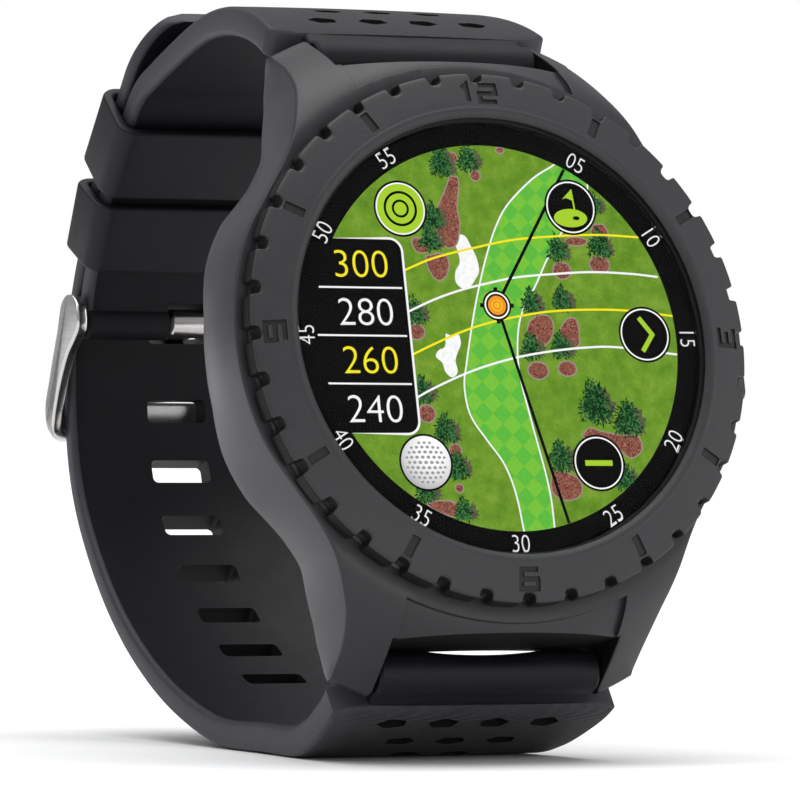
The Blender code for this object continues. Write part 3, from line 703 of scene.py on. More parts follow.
def panel_cutter(side):
    """Sinks the face between two lugs, outside an arc about the dial."""
    sunk = 0.6
    half = 10.75
    arc_r = 25.4
    columns = [half * (k / 12 - 1) for k in range(25)]
    rows = 14
    low, high = [], []
    for x in columns:
        z0 = math.sqrt(arc_r ** 2 - x ** 2)
        for k in range(rows + 1):
            z = z0 + (END_Z + 3 - z0) * k / rows
            low.append((x, smooth_along(DOME, math.hypot(x, z)) + sunk, side * z))
            high.append((x, -3.0, side * z))
    count = len(low)
    faces = grid_faces(25, rows + 1) + [tuple(i + count for i in f) for f in grid_faces(25, rows + 1)]
    edge = [k for k in range(rows + 1)] + [c * (rows + 1) + rows for c in range(1, 25)]
    edge += [24 * (rows + 1) + k for k in range(rows - 1, -1, -1)] + [c * (rows + 1)
                                                                      for c in range(23, 0, -1)]
    faces += [(a, b, b + count, a + count) for a, b in zip(edge, edge[1:] + edge[:1])]
    return low + high, faces, head


# ---------------------------------------------------------------- bezel

BEZEL_TOP = [(19.85, -0.62), (19.95, -0.76), (20.15, -0.9), (20.4, -0.99), (20.6, -1.0), (20.72, -0.96),
             (20.82, -0.91), (20.95, -0.89), (21.6, -0.76), (22.1, -0.64), (22.55, -0.53), (23.0, -0.42),
             (23.45, -0.3), (23.8, -0.2), (23.93, -0.15), (24.03, -0.07), (24.1, 0.04), (24.14, 0.18),
             (24.15, 0.35), (24.15, 0.8)]
BEZEL_BASE = [(24.15, 1.5), (24.05, 1.65), (21.75, 1.65), (21.7, 1.6), (21.7, -0.4), (21.6, -0.45),
              (19.95, -0.45),
              (19.85, -0.5)]
RIM_R = 24.15
EDGE_R = 23.8                      # where the rim starts to round over
WALL_R = 24.09                     # where the rim's wall starts, which takes a darker colour as painted shade
NOTCHES = 36
NOTCH_DEPTH = 0.88
NOTCH_SHAPE = [(0.0, 1.0), (0.2, 1.0), (0.36, 0.95), (0.49, 0.85), (0.58, 0.7), (0.63, 0.5), (0.655, 0.28),
               (0.69, 0.12), (0.76, 0.03), (0.85, 0.0)]
MARK_R = 22.1
ENGRAVED = 0.16


def bezel():
    """The turning ring: a sloped face, a rounded rim cut by U-shaped grip notches, and engraved marks; the rim's
    wall and the engravings take darker colours as painted shade.
    """
    pitch = 2 * math.pi / NOTCHES
    turn = sorted({(sign * place / RIM_R, share) for place, share in NOTCH_SHAPE for sign in (-1, 1)}
                  | {(k * 0.6 / RIM_R, 0.0) for k in (2, 3, 4, 5)})
    soft = 22.1
    verts = []
    for k in range(NOTCHES):
        for t, share in turn:
            a = k * pitch + t
            depth = NOTCH_DEPTH * share
            squeeze = (EDGE_R - depth - soft) / (EDGE_R - soft)
            sunk = along(BEZEL_TOP, EDGE_R - depth) - along(BEZEL_TOP, EDGE_R)
            for r0, y0 in BEZEL_TOP:
                r, y = r0, y0
                if r0 >= EDGE_R:
                    r, y = r0 - depth, min(y0 + sunk, 0.8) if y0 < 0.8 else y0
                elif r0 > soft:
                    r = soft + (r0 - soft) * squeeze
                    y = along(BEZEL_TOP, r)
                verts.append((r * math.sin(a), y, r * math.cos(a)))
            verts += [((r - (depth if r > 24 else 0)) * math.sin(a), y,
                       (r - (depth if r > 24 else 0)) * math.cos(a))
                      for r, y in BEZEL_BASE]
    around = len(BEZEL_TOP) + len(BEZEL_BASE)
    faces = grid_faces(NOTCHES * len(turn), around, True, True)
    first_wall = next(k for k, (r, _) in enumerate(BEZEL_TOP) if r > WALL_R)
    # The rim's outer wall takes the darker colour, as painted shade.
    painted_shade_faces = [1 if first_wall <= k % around < len(BEZEL_TOP) + 2 else 0 for k in range(len(faces))]
    ring = piece("bezel", verts, faces, "bezel_plastic", ["bezel", "bezel_wall_painted_shade", "bezel_mark_painted_shade"], "bezel", 38,
                 painted_shade_faces)
    marks, bars = [], []
    for k in range(12):
        place = dial_place(math.radians(30 * k), MARK_R)
        if k % 3:
            marks.append(engraving(rounded_rect(0.42, 0.95, 0.1, 2), place))
        else:
            figures(QUARTERS[k // 3], place, marks, bars, -1 if k == 6 else 1)
    # The engraved faces take the darker mark colour, as painted shade in the recesses.
    cut(ring, marks)
    cut(ring, bars)
    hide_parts("bezel_ring")


def dial_place(angle, radius):
    """Returns place(u, v, w): u across, v outwards from a point of the dial, w the depth."""
    s, c = math.sin(angle), math.cos(angle)

    def place(u, v, w):
        return (s * (radius + v) + u * c, w, c * (radius + v) - u * s)
    return place


def engraving(outline, place):
    """A cutter that sinks an outline to an even depth below the bezel's sloped face."""
    count = len(outline)
    verts = []
    for u, v in outline:
        x, _, z = place(u, v, 0)
        verts.append((x, along(BEZEL_TOP, math.hypot(x, z)) + ENGRAVED, z))
    verts += [place(u, v, -2.5) for u, v in outline]
    faces = [tuple(range(count))[::-1], tuple(range(count, 2 * count))]
    faces += [(k, (k + 1) % count, (k + 1) % count + count, k + count) for k in range(count)]
    return verts, faces, head


QUARTERS = ("12", "3", "6", "9")
FIGURE_HALF = (0.8, 0.82)
FIGURES = {"1": ([(-0.45, 0.55), (0.1, 1.0), (0.1, -1.0)], None),
           "2": ([(-1.0, 1.0), (1.0, 1.0), (1.0, 0.0), (-1.0, 0.0), (-1.0, -1.0), (1.0, -1.0)], None),
           "3": ([(-1.0, 1.0), (1.0, 1.0), (1.0, -1.0), (-1.0, -1.0)], [(-0.6, 0.0), (0.9, 0.0)]),
           "6": ([(1.0, 1.0), (-1.0, 1.0), (-1.0, -1.0), (1.0, -1.0), (1.0, 0.0)], [(1.2, 0.0), (-0.9, 0.0)]),
           "9": ([(-1.0, -1.0), (1.0, -1.0), (1.0, 1.0), (-1.0, 1.0), (-1.0, 0.0)],
                 [(-1.2, 0.0), (0.9, 0.0)])}
FIGURE_STROKE = 0.46


def figures(text, place, marks, bars, sense):
    """Square-cut quarter numbers: each figure is a bent stroke and, where it closes, one bar."""
    for j, digit in enumerate(text):
        shift = 0.0 if len(text) == 1 else (-1.25, 0.8)[j]
        for path, width, cutters in zip(FIGURES[digit], (FIGURE_STROKE, FIGURE_STROKE * 0.98), (marks, bars)):
            if path:
                points = [(sense * (u * FIGURE_HALF[0] + shift), sense * v * FIGURE_HALF[1]) for u, v in path]
                cutters.append(engraving(stroke(points, width), place))


def offset_path(points, amount):
    """An open path moved sideways, with mitred corners."""
    out = []
    last = len(points) - 1
    for k, point in enumerate(points):
        here = Vector(point)
        before = (here - Vector(points[k - 1])).normalized() if k else None
        after = (Vector(points[k + 1]) - here).normalized() if k < last else None
        before = before or after
        after = after or before
        normal = Vector((-before.y - after.y, before.x + after.x))
        normal *= 2 / max(normal.length_squared, 0.4)
        out.append(tuple(here + normal * amount))
    return out


# ---------------------------------------------------------------- dial and screen

SCREEN_R = 17.6
MAP_REACH = 18.2                   # map shapes run on under the ring
RING_Y = 0.46


def flat_piece(name, shapes, depth, mat, slot="screen"):
    """Filled flat shapes at one depth behind the glass, each a list of (x, z)."""
    verts, faces = [], []
    for shape in shapes:
        base = len(verts)
        verts += [(x, depth, z) for x, z in shape]
        for tri in geometry.tessellate_polygon([[Vector((x, z, 0)) for x, z in shape]]):
            faces.append(tuple(base + i for i in tri))
    return piece(name, verts, faces, slot, mat)


def circle(x, z, r, r2=None, steps=48):
    """Points of a circle, or of an ellipse when a second radius is given."""
    r2 = r2 or r
    return [(x + r * math.cos(2 * math.pi * k / steps), z + r2 * math.sin(2 * math.pi * k / steps))
            for k in range(steps)]


def stroke(points, width):
    """A band of even width along an open path, as one outline."""
    left = offset_path(points, width / 2)
    right = offset_path(points, -width / 2)
    return left + right[::-1]


def bands(points, width):
    """The same band as separate quads, for long or closed paths."""
    left = offset_path(points, width / 2)
    right = offset_path(points, -width / 2)
    return [[a, b, c, d] for a, b, c, d in zip(left, left[1:], right[1:], right)]


def hoop(x, z, r, width):
    """A thin round band."""
    path = circle(x, z, r)
    path += path[:2]
    return bands(path, width)


def clip_round(points, radius):
    """Pulls points outside the screen back to its edge."""
    out = []
    for x, z in points:
        r = math.hypot(x, z)
        out.append((x * radius / r, z * radius / r) if r > radius else (x, z))
    return out


def smooth_path(points, step=0.4):
    """A smooth curve through the points, as pairs."""
    return [tuple(p) for p in spline(points, step)]


def text_piece(name, items, depth, mat, slot="screen"):
    """Numbers set flat on the dial: (text, x, z, height, turn, width share)."""
    verts, faces = [], []
    for text, x, z, height, turn, share in items:
        curve = bpy.data.curves.new(name, "FONT")
        curve.body = text
        curve.align_x = "CENTER"
        curve.align_y = "CENTER"
        curve.size = 1.0
        curve.resolution_u = 5
        curve.offset = -0.012
        temp = bpy.data.objects.new(name + "_text", curve)
        bpy.context.scene.collection.objects.link(temp)
        bpy.context.view_layer.update()
        mesh = bpy.data.meshes.new_from_object(temp.evaluated_get(bpy.context.evaluated_depsgraph_get()))
        bpy.data.objects.remove(temp, do_unlink=True)
        scale = height / 0.69
        low = min(v.co.x for v in mesh.vertices)
        high = max(v.co.x for v in mesh.vertices)
        bottom = min(v.co.y for v in mesh.vertices)
        top = max(v.co.y for v in mesh.vertices)
        c, s = math.cos(turn), math.sin(turn)
        base = len(verts)
        for v in mesh.vertices:
            u = (v.co.x - (low + high) / 2) * scale * share
            w = (v.co.y - (bottom + top) / 2) * scale
            verts.append((x + u * c - w * s, depth, z + u * s + w * c))
        faces += [tuple(base + i for i in poly.vertices) for poly in mesh.polygons]
        bpy.data.meshes.remove(mesh)
    return piece(name, verts, faces, slot, mat)


FAIRWAY_LEFT = [(8.0, 16.6), (7.1, 15.9), (4.9, 14.6), (2.3, 12.3), (0.9, 10.3), (-0.35, 7.6), (-1.55, 4.3),
                (-2.5, 1.2), (-3.45, -2.4), (-3.9, -4.5), (-3.6, -7.1), (-2.2, -9.4), (-0.8, -11.5),
                (0.05, -14.2), (0.5, -18.0)]
FAIRWAY_RIGHT = [(3.5, -18.0), (3.35, -13.6), (2.25, -7.25), (1.67, -3.6), (1.74, -0.6), (2.45, 2.15),
                 (4.2, 4.9),
                 (5.6, 7.3), (7.2, 9.6), (8.9, 11.4), (10.2, 13.2), (10.4, 15.5)]
AIM = (0.1, 2.9)
ARCS = {"yellow": [[(-8.9, 5.85), (-5.6, 7.15), (-1.3, 8.2), (2.4, 8.95), (6.6, 9.35), (10.9, 9.55),
                    (15.1, 9.4)],
                   [(-8.7, -1.7), (-6.45, -0.7), (-3.75, 0.4), (-1.05, 1.25), (1.95, 1.9), (5.6, 2.45),
                    (10.1, 2.65), (13.7, 2.55), (17.5, 2.15)]],
        "white": [[(-8.9, 2.1), (-6.0, 3.35), (-3.3, 4.25), (-0.65, 4.9), (2.3, 5.5), (5.9, 5.85),
                   (9.85, 6.1),
                   (13.7, 6.0), (16.4, 5.75)],
                  [(-8.7, -5.6), (-6.9, -4.7), (-3.8, -3.4), (-1.1, -2.5), (1.9, -1.75), (5.2, -1.2),
                   (8.5, -0.85), (11.7, -0.8), (17.5, -1.4)]]}
BUNKERS = [[(-3.0, 9.4), (-2.3, 9.2), (-1.8, 8.2), (-1.4, 7.2), (-1.3, 6.0), (-1.8, 5.2), (-2.4, 4.5),
            (-3.1, 4.4),
            (-3.7, 5.0), (-3.6, 6.0), (-3.1, 6.8), (-3.2, 7.8), (-3.4, 8.8)],
           [(-5.2, 0.3), (-4.6, 0.1), (-4.0, 0.3), (-3.8, -0.6), (-4.2, -1.4), (-4.5, -2.2), (-4.4, -3.2),
            (-5.0, -3.7),
            (-5.6, -3.2), (-5.8, -2.4), (-6.4, -1.8), (-6.0, -1.2), (-5.4, -0.9)]]
MULCH = [[(-3.2, 14.7), (-2.4, 14.4), (-2.8, 11.8), (-2.7, 10.3), (-3.2, 8.5), (-4.2, 8.1), (-4.7, 9.1),
          (-5.1, 10.0), (-4.7, 11.8), (-4.0, 13.1)],
         [(-6.4, 7.3), (-6.3, 6.4), (-5.9, 5.5), (-5.3, 5.1), (-4.6, 5.5), (-4.2, 6.4), (-4.3, 7.3),
          (-4.9, 7.6)],
         [(-7.4, 9.0), (-7.6, 8.4), (-7.2, 7.7), (-6.5, 7.6), (-6.0, 7.9), (-6.2, 8.8)],
         [(10.5, 10.5), (11.5, 10.5), (11.9, 9.7), (11.6, 9.0), (10.6, 8.8), (10.2, 9.7)],
         [(3.2, 1.5), (4.2, 2.1), (5.3, 1.8), (5.4, 0.6), (4.8, -0.4), (3.9, -0.9), (3.0, -0.3), (2.8, 0.6)],
         [(6.6, 1.5), (7.3, 1.9), (7.9, 1.4), (7.8, -0.6), (7.0, -0.7), (6.1, -0.4), (6.0, 0.6)],
         [(7.1, -8.9), (8.0, -8.2), (9.1, -8.5), (10.8, -8.8), (12.6, -8.9), (13.0, -10.0), (12.4, -10.7),
          (11.6, -10.9), (10.4, -10.0), (8.5, -9.7)],
         [(3.8, -12.1), (5.3, -12.3), (6.5, -13.0), (6.5, -14.1), (5.7, -14.7), (4.5, -14.7), (3.6, -13.9)],
         [(-8.7, -15.1), (-7.0, -14.8), (-5.1, -15.3), (-4.9, -16.2), (-6.5, -16.2), (-8.1, -15.6)]]
MULCH_SPOTS = [(-2.8, 16.4, 0.5, 0.5), (-0.7, 14.8, 0.5, 0.5), (2.0, 17.2, 0.4, 0.3), (8.6, 8.9, 1.1, 0.4),
               (10.7, 6.8, 1.0, 0.8), (6.9, 6.2, 0.9, 0.8), (3.5, -3.0, 1.0, 0.8), (6.4, -2.8, 0.9, 0.7),
               (-8.0, 0.4, 0.8, 0.7), (-7.8, -7.0, 0.8, 0.8), (-5.4, -10.3, 0.6, 0.6),
               (-5.4, -13.7, 0.4, 0.4)]
TREES = [(-4.0, 15.8, 2.9), (-1.3, 16.2, 2.5), (-5.4, 10.8, 2.6), (-5.9, 8.8, 2.6), (6.6, 8.1, 2.6),
         (10.8, 8.5, 2.8), (3.4, 3.1, 2.4), (6.5, 3.4, 2.4), (3.0, -1.0, 2.5), (6.0, -0.9, 2.5),
         (8.8, -6.2, 4.4),
         (11.8, -7.6, 3.6), (4.8, -11.0, 3.0), (-8.1, 2.1, 2.6), (-8.1, -5.1, 2.6), (-6.2, -8.6, 2.8),
         (-5.4, -11.9, 2.6), (-8.7, -14.0, 2.4), (-5.2, -15.8, 2.2), (11.0, -12.9, 2.6), (10.7, 12.3, 2.0)]


def cone(a):
    """A conifer seen from above and in front: narrow at the top, wide at the foot."""
    return 0.72 - 0.26 * math.sin(a)


def ragged(rng, x, z, size, spikes, wobble):
    """An outline with needle-like points, for a tree seen on the map."""
    shape = []
    for k in range(spikes * 2):
        a = math.pi * k / spikes
        lift = 1.0 + 0.2 * math.sin(a)
        r = size / 2 * lift * ((0.8 + wobble * rng.random()) if k % 2 else (0.5 + wobble * rng.random()))
        shape.append((x + r * cone(a) * math.cos(a), z + r * math.sin(a)))
    return shape


def needles(rng, x, z, size, count, reach, long):
    """Small pointed leaves scattered over a tree, each leaning away from its trunk."""
    out = []
    for _ in range(count):
        a = rng.uniform(0, 2 * math.pi)
        r = size / 2 * reach * math.sqrt(rng.random())
        cx, cz = x + cone(a) * r * math.cos(a), z + r * math.sin(a) * (1.0 + 0.2 * math.sin(a))
        lean = a + rng.uniform(-0.9, 0.9)
        span, wide = rng.uniform(0.6, 1.2) * long, rng.uniform(0.06, 0.1)
        c, s = math.cos(lean), math.sin(lean)
        out.append([(cx - s * wide, cz + c * wide), (cx - c * span * 0.4, cz - s * span * 0.4),
                    (cx + s * wide, cz - c * wide), (cx + c * span, cz + s * span)])
    return out


def screen_map():
    """The course map in flat layers, each a hair nearer to the glass than the one before."""
    base = turned_mesh([(0.05, 0.55), (SCREEN_R, 0.55), (SCREEN_R, 1.6), (0.05, 1.6)], 96, True)
    turf = piece("screen_map", *base, "screen", "turf")
    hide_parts("display_panel")
    left = clip_round(smooth_path(FAIRWAY_LEFT), MAP_REACH)
    right = clip_round(smooth_path(FAIRWAY_RIGHT), MAP_REACH)
    flat_piece("map_fairway", [left + right], 0.544, "fairway")
    flat_piece("map_fairway_edge", bands(left, 0.16) + bands(right, 0.16), 0.540, "white")
    flat_piece("map_bunkers", [smooth_path(b + b[:1], 0.25)[:-1] for b in BUNKERS], 0.536, "sand")
    beds = [smooth_path(m + m[:1], 0.25) for m in MULCH]
    beds += [circle(x, z, rx, rz, 24) + [(x + rx, z)] for x, z, rx, rz in MULCH_SPOTS]
    flat_piece("map_mulch", [bed[:-1] for bed in beds], 0.532, "mulch")
    rng = random.Random(4)
    rims = [band for bed in beds for band in bands(bed, 0.12)]
    flat_piece("map_mulch_rims", rims, 0.531, "rim")
    shadows = [ragged(rng, x + 0.8, z - 0.15, s * 0.92, 13, 0.3) for x, z, s in TREES]
    flat_piece("map_tree_shadows", shadows, 0.529, "tree_shadow")
    flat_piece("map_trees", [ragged(rng, x, z, s, 15, 0.3) for x, z, s in TREES], 0.527, "tree")
    for name, mat, each, reach, long, depth in (("map_needles_dark", "tree", 50, 1.05, 0.34, 0.526),
                                                ("map_needles", "needle", 85, 0.98, 0.26, 0.525),
                                                ("map_needle_tips", "needle_tip", 55, 0.9, 0.18, 0.5245)):
        leaves = [leaf for x, z, s in TREES for leaf in needles(rng, x, z, s, round(each * s / 2.4), reach,
                                                                long)]
        flat_piece(name, leaves, depth, mat)
    for color, depth in (("white", 0.520), ("yellow", 0.517)):
        lines = [band for path in ARCS[color] for band in bands(smooth_path(path), 0.2)]
        flat_piece("map_arcs_" + color, lines, depth, color)
    flat_piece("map_aim_line", bands([(8.15, 15.55), AIM], 0.3) + bands([AIM, (4.95, -16.85)], 0.3), 0.514,
               "black")
    aim_target()
    distance_panel()
    icons()


def aim_target():
    """The orange target where the two aiming lines meet."""
    x, z = AIM
    ticks = [stroke([(x + dx, z + dz), (x + 1.38 * dx, z + 1.38 * dz)], 0.38)
             for dx, dz in ((1.2, 0), (-1.2, 0), (0, 1.2), (0, -1.2))]
    flat_piece("aim_black", [circle(x, z, 1.4)] + ticks, 0.511, "black")
    flat_piece("aim_white", [circle(x, z, 1.22)], 0.508, "white")
    flat_piece("aim_dark_ring", [circle(x, z, 1.06)], 0.505, "black")
    flat_piece("aim_orange", [circle(x, z, 0.88)], 0.502, "orange")
    flat_piece("aim_rings", hoop(x, z, 0.5, 0.06) + hoop(x, z, 0.16, 0.08), 0.500, "yellow")


PANEL_X = -8.75
PANEL_Z = 8.75
ROWS = (("300", 6.5, "yellow"), ("280", 2.15, "white"), ("260", -2.2, "yellow"), ("240", -6.6, "white"))


def distance_panel():
    """The black panel with four distances."""
    def outline(grow):
        radius = 1.1 + grow
        right, top = PANEL_X + grow, PANEL_Z + grow
        points = []
        for sign, first in ((1, 90), (-1, 0)):
            for k in range(9):
                a = math.radians(first - 90 * k / 8)
                points.append((right - radius + radius * math.cos(a),
                               sign * (top - radius) + radius * math.sin(a)))
        rim = [(18.0 * math.cos(a), 18.0 * math.sin(a)) for a in
               (math.pi + 0.51 - 1.02 * k / 16 for k in range(17))]
        return points + rim
    flat_piece("panel_border", [outline(0.22)], 0.498, "white")
    flat_piece("panel_face", [outline(0.0)], 0.494, "black")
    flat_piece("panel_lines", [stroke([(-18.0, z), (PANEL_X - 0.25, z)], 0.17) for z in (4.35, 0.0, -4.35)],
               0.491, "white")
    for color in ("yellow", "white"):
        items = [(text, -12.75, z, 2.5, 0.0, 1.02) for text, z, shade_name in ROWS if shade_name == color]
        text_piece("panel_distances_" + color, items, 0.490, color)


def icons():
    """Four round touch icons and a golf ball."""
    places = list(ICONS.values())
    flat_piece("icon_edges", [circle(x, z, ICON_R) for x, z in places], 0.498, "black")
    flat_piece("icon_hoops", [circle(x, z, ICON_R - 0.19) for x, z in places[:4]], 0.494, "white")
    flat_piece("icon_faces", [circle(x, z, ICON_R - 0.33) for x, z in places[1:4]], 0.490, "black")
    x, z = ICONS["rings"]
    flat_piece("icon_target", [circle(x, z, ICON_R - 0.33)], 0.490, "lime")
    flat_piece("icon_target_rings", hoop(x, z, 1.5, 0.24) + hoop(x, z, 0.72, 0.22), 0.486, "black")
    x, z = ICONS["flag"]
    green = [circle(x - 0.1, z - 1.0, 1.65, 0.85), stroke([(x + 0.45, z - 1.0), (x + 0.2, z + 1.65)], 0.16),
             [(x + 0.22, z + 1.65), (x - 0.75, z + 0.75), (x - 0.35, z + 0.85), (x + 0.3, z + 0.6)]]
    flat_piece("icon_flag", green, 0.486, "lime")
    flat_piece("icon_hole", [circle(x + 0.45, z - 1.0, 0.34, 0.18)], 0.484, "black")
    x, z = ICONS["next"]
    x2, z2 = ICONS["less"]
    marks = [stroke([(x - 0.45, z + 1.55), (x + 0.75, z), (x - 0.35, z - 1.55)], 0.44),
             stroke([(x2 - 1.35, z2), (x2 + 1.35, z2)], 0.5)]
    flat_piece("icon_marks", marks, 0.486, "lime")
    x, z = ICONS["ball"]
    flat_piece("icon_ball_face", [circle(x, z, ICON_R - 0.19)], 0.494, "ball")
    dots = []
    for i in range(-5, 6):
        for j in range(-5, 6):
            u, v = (i + 0.5 * (j % 2)) * 0.56, j * 0.48
            r = math.hypot(u, v)
            if r < 2.2:
                shrink = 1 - 0.055 * r * r
                pull = 1 - 0.02 * r * r
                dots.append(circle(x + u * pull, z + v * pull, 0.19 * shrink, 0.15 * shrink, 12))
    flat_piece("icon_ball_dimples", dots, 0.490, "grey")


def dial_ring():
    """The black ring round the screen with its minute numbers."""
    profile = [(19.5, RING_Y), (19.5, 0.85), (17.75, 0.85), (17.62, 0.8), (17.6, RING_Y)]
    ring = piece("dial_ring", *turned_mesh(profile, 144), "dial_black", "ring")
    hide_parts("minute_ring")
    items = []
    for k in range(1, 12):
        a = math.radians(30 * k)
        turn = math.pi - a if 3 < k < 9 else -a
        items.append((f"{5 * k:02d}", 18.65 * math.sin(a), 18.65 * math.cos(a), 1.5, turn, 0.88))
    # The printed numbers glow, as painted light.
    text_piece("dial_numbers", items, RING_Y - 0.01, "print", "dial_black")


# ---------------------------------------------------------------- button

BUTTON_Y = 5.6
BUTTON_LAYERS = [(1.0, 23.9), (1.0, 25.2), (0.97, 25.62), (0.9, 25.86), (0.8, 25.97), (0.6, 25.98),
                 (0.3, 25.9)]


def button():
    """A soft-cornered push button with a shallow finger dish, and its stem."""
    rows = []
    for share, x in BUTTON_LAYERS:
        across = 2.0 * share if share > 0.75 else 1.6 * share + 0.3
        outline = rounded_rect(across, 4.7 - 2.0 * (1 - share), 0.9 * share, 6)
        rows += [(x, BUTTON_Y + u, v) for u, v in outline]
    count = len(rows) // len(BUTTON_LAYERS)
    faces = grid_faces(len(BUTTON_LAYERS), count, False, True) + end_caps(rows, count)
    cap = piece("push_button", rows, faces, "case_plastic", "case", "button", 40)
    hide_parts("button_cap")
    steps = 20
    stem = [(x, BUTTON_Y + u, v) for x in (18.7, 24.0) for u, v in ring_points(steps, 0.7)]
    piece("button_stem", stem, grid_faces(2, steps, False, True) + end_caps(stem, steps), "case_plastic",
          "steel",
          "button")


# ---------------------------------------------------------------- strap

LOWER_LINE = [(10.6, -28.0), (13.4, -29.85), (17.3, -30.8), (21.3, -31.25), (25.6, -30.98), (33.9, -28.95),
              (42.6, -26.83), (48.5, -24.4), (55.8, -20.0), (62, -14.8), (66.6, -9.5), (70.0, -4),
              (72.3, 1.5), (73.1, 6.5), (72.7, 11.8), (71.7, 16.2), (70.2, 19.5), (67.8, 23.1),
              (64.6, 27.0), (61.5, 30.8), (59.9, 32.3), (56.8, 34.7), (52.0, 38.3), (48.8, 40.7),
              (45.6, 43.1)]
UPPER_LINE = [(10.6, 28.0), (13.4, 30.8), (17, 33.1), (21, 34.9), (25.5, 36.4), (30.5, 37.4), (35.5, 37.7),
              (40.5, 37.6), (45, 37.3), (48.8, 36.8), (51.8, 35.3), (55.3, 32.7), (58.4, 30.3),
              (59.6, 29.1), (61.7, 26.6), (65.8, 21.6), (66.9, 18.7)]
TAIL_HALF = 11.1
EAR_Y = 12.8
HOLE_PITCH = 6.3
HOLE_COUNT = 12
TONGUE_HOLE = (71.1, 17.35)
HOLE_TONGUE = 7
TONGUE_HOLE_SHIFT = 2.1            # how far this hole lies beyond its even place in the row
HOLE_HALF = (3.05, 1.15)           # across and along the strap
TONGUE_HOLE_HALF = 1.45            # along it, for the hole the tongue is in
LOWER_THICK = (3.0, 1.7)           # at the lugs and at the tail
UPPER_THICK = (2.8, 2.3)
BODY_START_Y = 12.3                # where the wide part begins behind the lugs
NECK_END_Y = 13.2
TAIL_ROUND = 7.0                   # length of the rounded tail
TAIL_TAPER = 3.6                   # what it loses on each side
BUCKLE_ROLL_R = 1.65
ROLL_R = 2.1                       # strap end rolled round a spring bar
ROLL_HALF = 10.8
STATION = 0.4                      # spacing of a strap's cross-sections
DIMPLE_ROWS = ((14.9, (-7.5, -2.5, 2.5, 7.5)), (18.8, (-5.0, 0.0, 5.0)), (23.0, (-2.5, 2.5)), (27.4, (0.0,)))


def half_width(y):
    """Half width of a strap half: narrow between the lugs, wide at the ears, tapering to the tail."""
    if y < EAR_Y:
        return ROLL_HALF
    ease = min((y - EAR_Y) / 35.0, 1.0)
    return min(14.0 - 2.9 * math.sin(ease * math.pi / 2), 13.0 + (y - EAR_Y) * 2.2)


def strap_frames(line):
    """Stations along a strap: point and direction."""
    points = spline(line, STATION)
    out = []
    for k, point in enumerate(points):
        way = (points[min(k + 1, len(points) - 1)] - points[max(k - 1, 0)]).normalized()
        out.append((point, way))
    return out


def section(half, thick, crown):
    """Cross-section of a strap: outer face slightly crowned, round corners; (across, outwards, tag)."""
    radius = min(0.55, thick / 2.2)
    outer, inner = thick / 2, -thick / 2
    across = 16

    def corner(cu, cv, first, ks, parts):
        turns = [math.radians(first + 90 * k / parts) for k in ks]
        return [(cu + radius * math.cos(a), cv + radius * math.sin(a), 1) for a in turns]

    points = []
    for k in range(across + 1):
        u = (half - radius) * (1 - 2 * k / across)
        points.append((u, outer + crown * (1 - (u / half) ** 2), 0))
    points += corner(radius - half, outer - radius, 90, range(1, 5), 5)
    points += corner(radius - half, inner + radius, 180, range(5), 4)
    points += [(radius - half + 2 * (half - radius) * k / across, inner, 2) for k in range(1, across)]
    points += corner(half - radius, inner + radius, 270, range(5), 4)
    points += corner(half - radius, outer - radius, 0, range(1, 5), 5)
    return points


def strap(name, line, side, thick, tail):
    """One strap half, lofted along its middle line; side is the sense of the outward normal."""
    stations = strap_frames(line)
    start = next(k for k, (p, _) in enumerate(stations) if p.x > BODY_START_Y)
    rows, tags = [], []
    used = stations[start:]
    for k, (point, way) in enumerate(used):
        share = k / (len(used) - 1)
        out = Vector((way.y, -way.x)) * side
        half = half_width(point.x)
        thickness = thick[0] + (thick[1] - thick[0]) * min(1.0, share * 1.15)
        if tail:
            left = (len(used) - 1 - k) * STATION
            if left < TAIL_ROUND:
                half -= TAIL_TAPER * (1 - math.sqrt(max(0.0, 1 - ((TAIL_ROUND - left) / TAIL_ROUND) ** 2)))
                thickness *= 0.75 + 0.25 * left / TAIL_ROUND
        ring = section(half, thickness, 0.12)
        rows.append([(u, point.x + out.x * v, point.y + out.y * v) for u, v, _ in ring])
        tags = [t for _, _, t in ring]
    count = len(tags)
    verts = [v for row in rows for v in row]
    faces = grid_faces(len(rows), count, False, True)
    face_mats = []
    for _ in range(len(rows) - 1):
        for c in range(count):
            a, b = tags[c], tags[(c + 1) % count]
            face_mats.append(a if a != 1 else b)
    faces += end_caps(verts, count)
    face_mats += [1, 1]
    # The sides and the outer face take lightened colours, as painted light.
    return piece(name, verts, faces, "strap_rubber",
                 ["strap_outer_painted_light", "strap_side", "strap_inner", "strap_pit_painted_shade"],
                 angle=40, face_mats=face_mats)


def path_lift(point, way):
    """place(u, v, w): u across x, v along the strap, w outwards, at a station of its line."""
    def lift(u, v, w):
        return head(u, point.x + way.x * v + way.y * w, point.y + way.y * v - way.x * w)
    return lift


def at_distance(stations, distance):
    """Point and direction at a distance along a strap."""
    for (a, way), (b, _) in zip(stations, stations[1:]):
        span = (b - a).length
        if distance <= span:
            return a + (b - a) * (distance / span), way
        distance -= span
    return stations[-1]


def distance_to(stations, target):
    """Distance along a strap to the station nearest to a point."""
    walked, best = 0.0, (1e9, 0.0)
    for (a, _), (b, _) in zip(stations, stations[1:]):
        gap = (a - Vector(target)).length
        if gap < best[0]:
            best = (gap, walked)
        walked += (b - a).length
    return best[1]


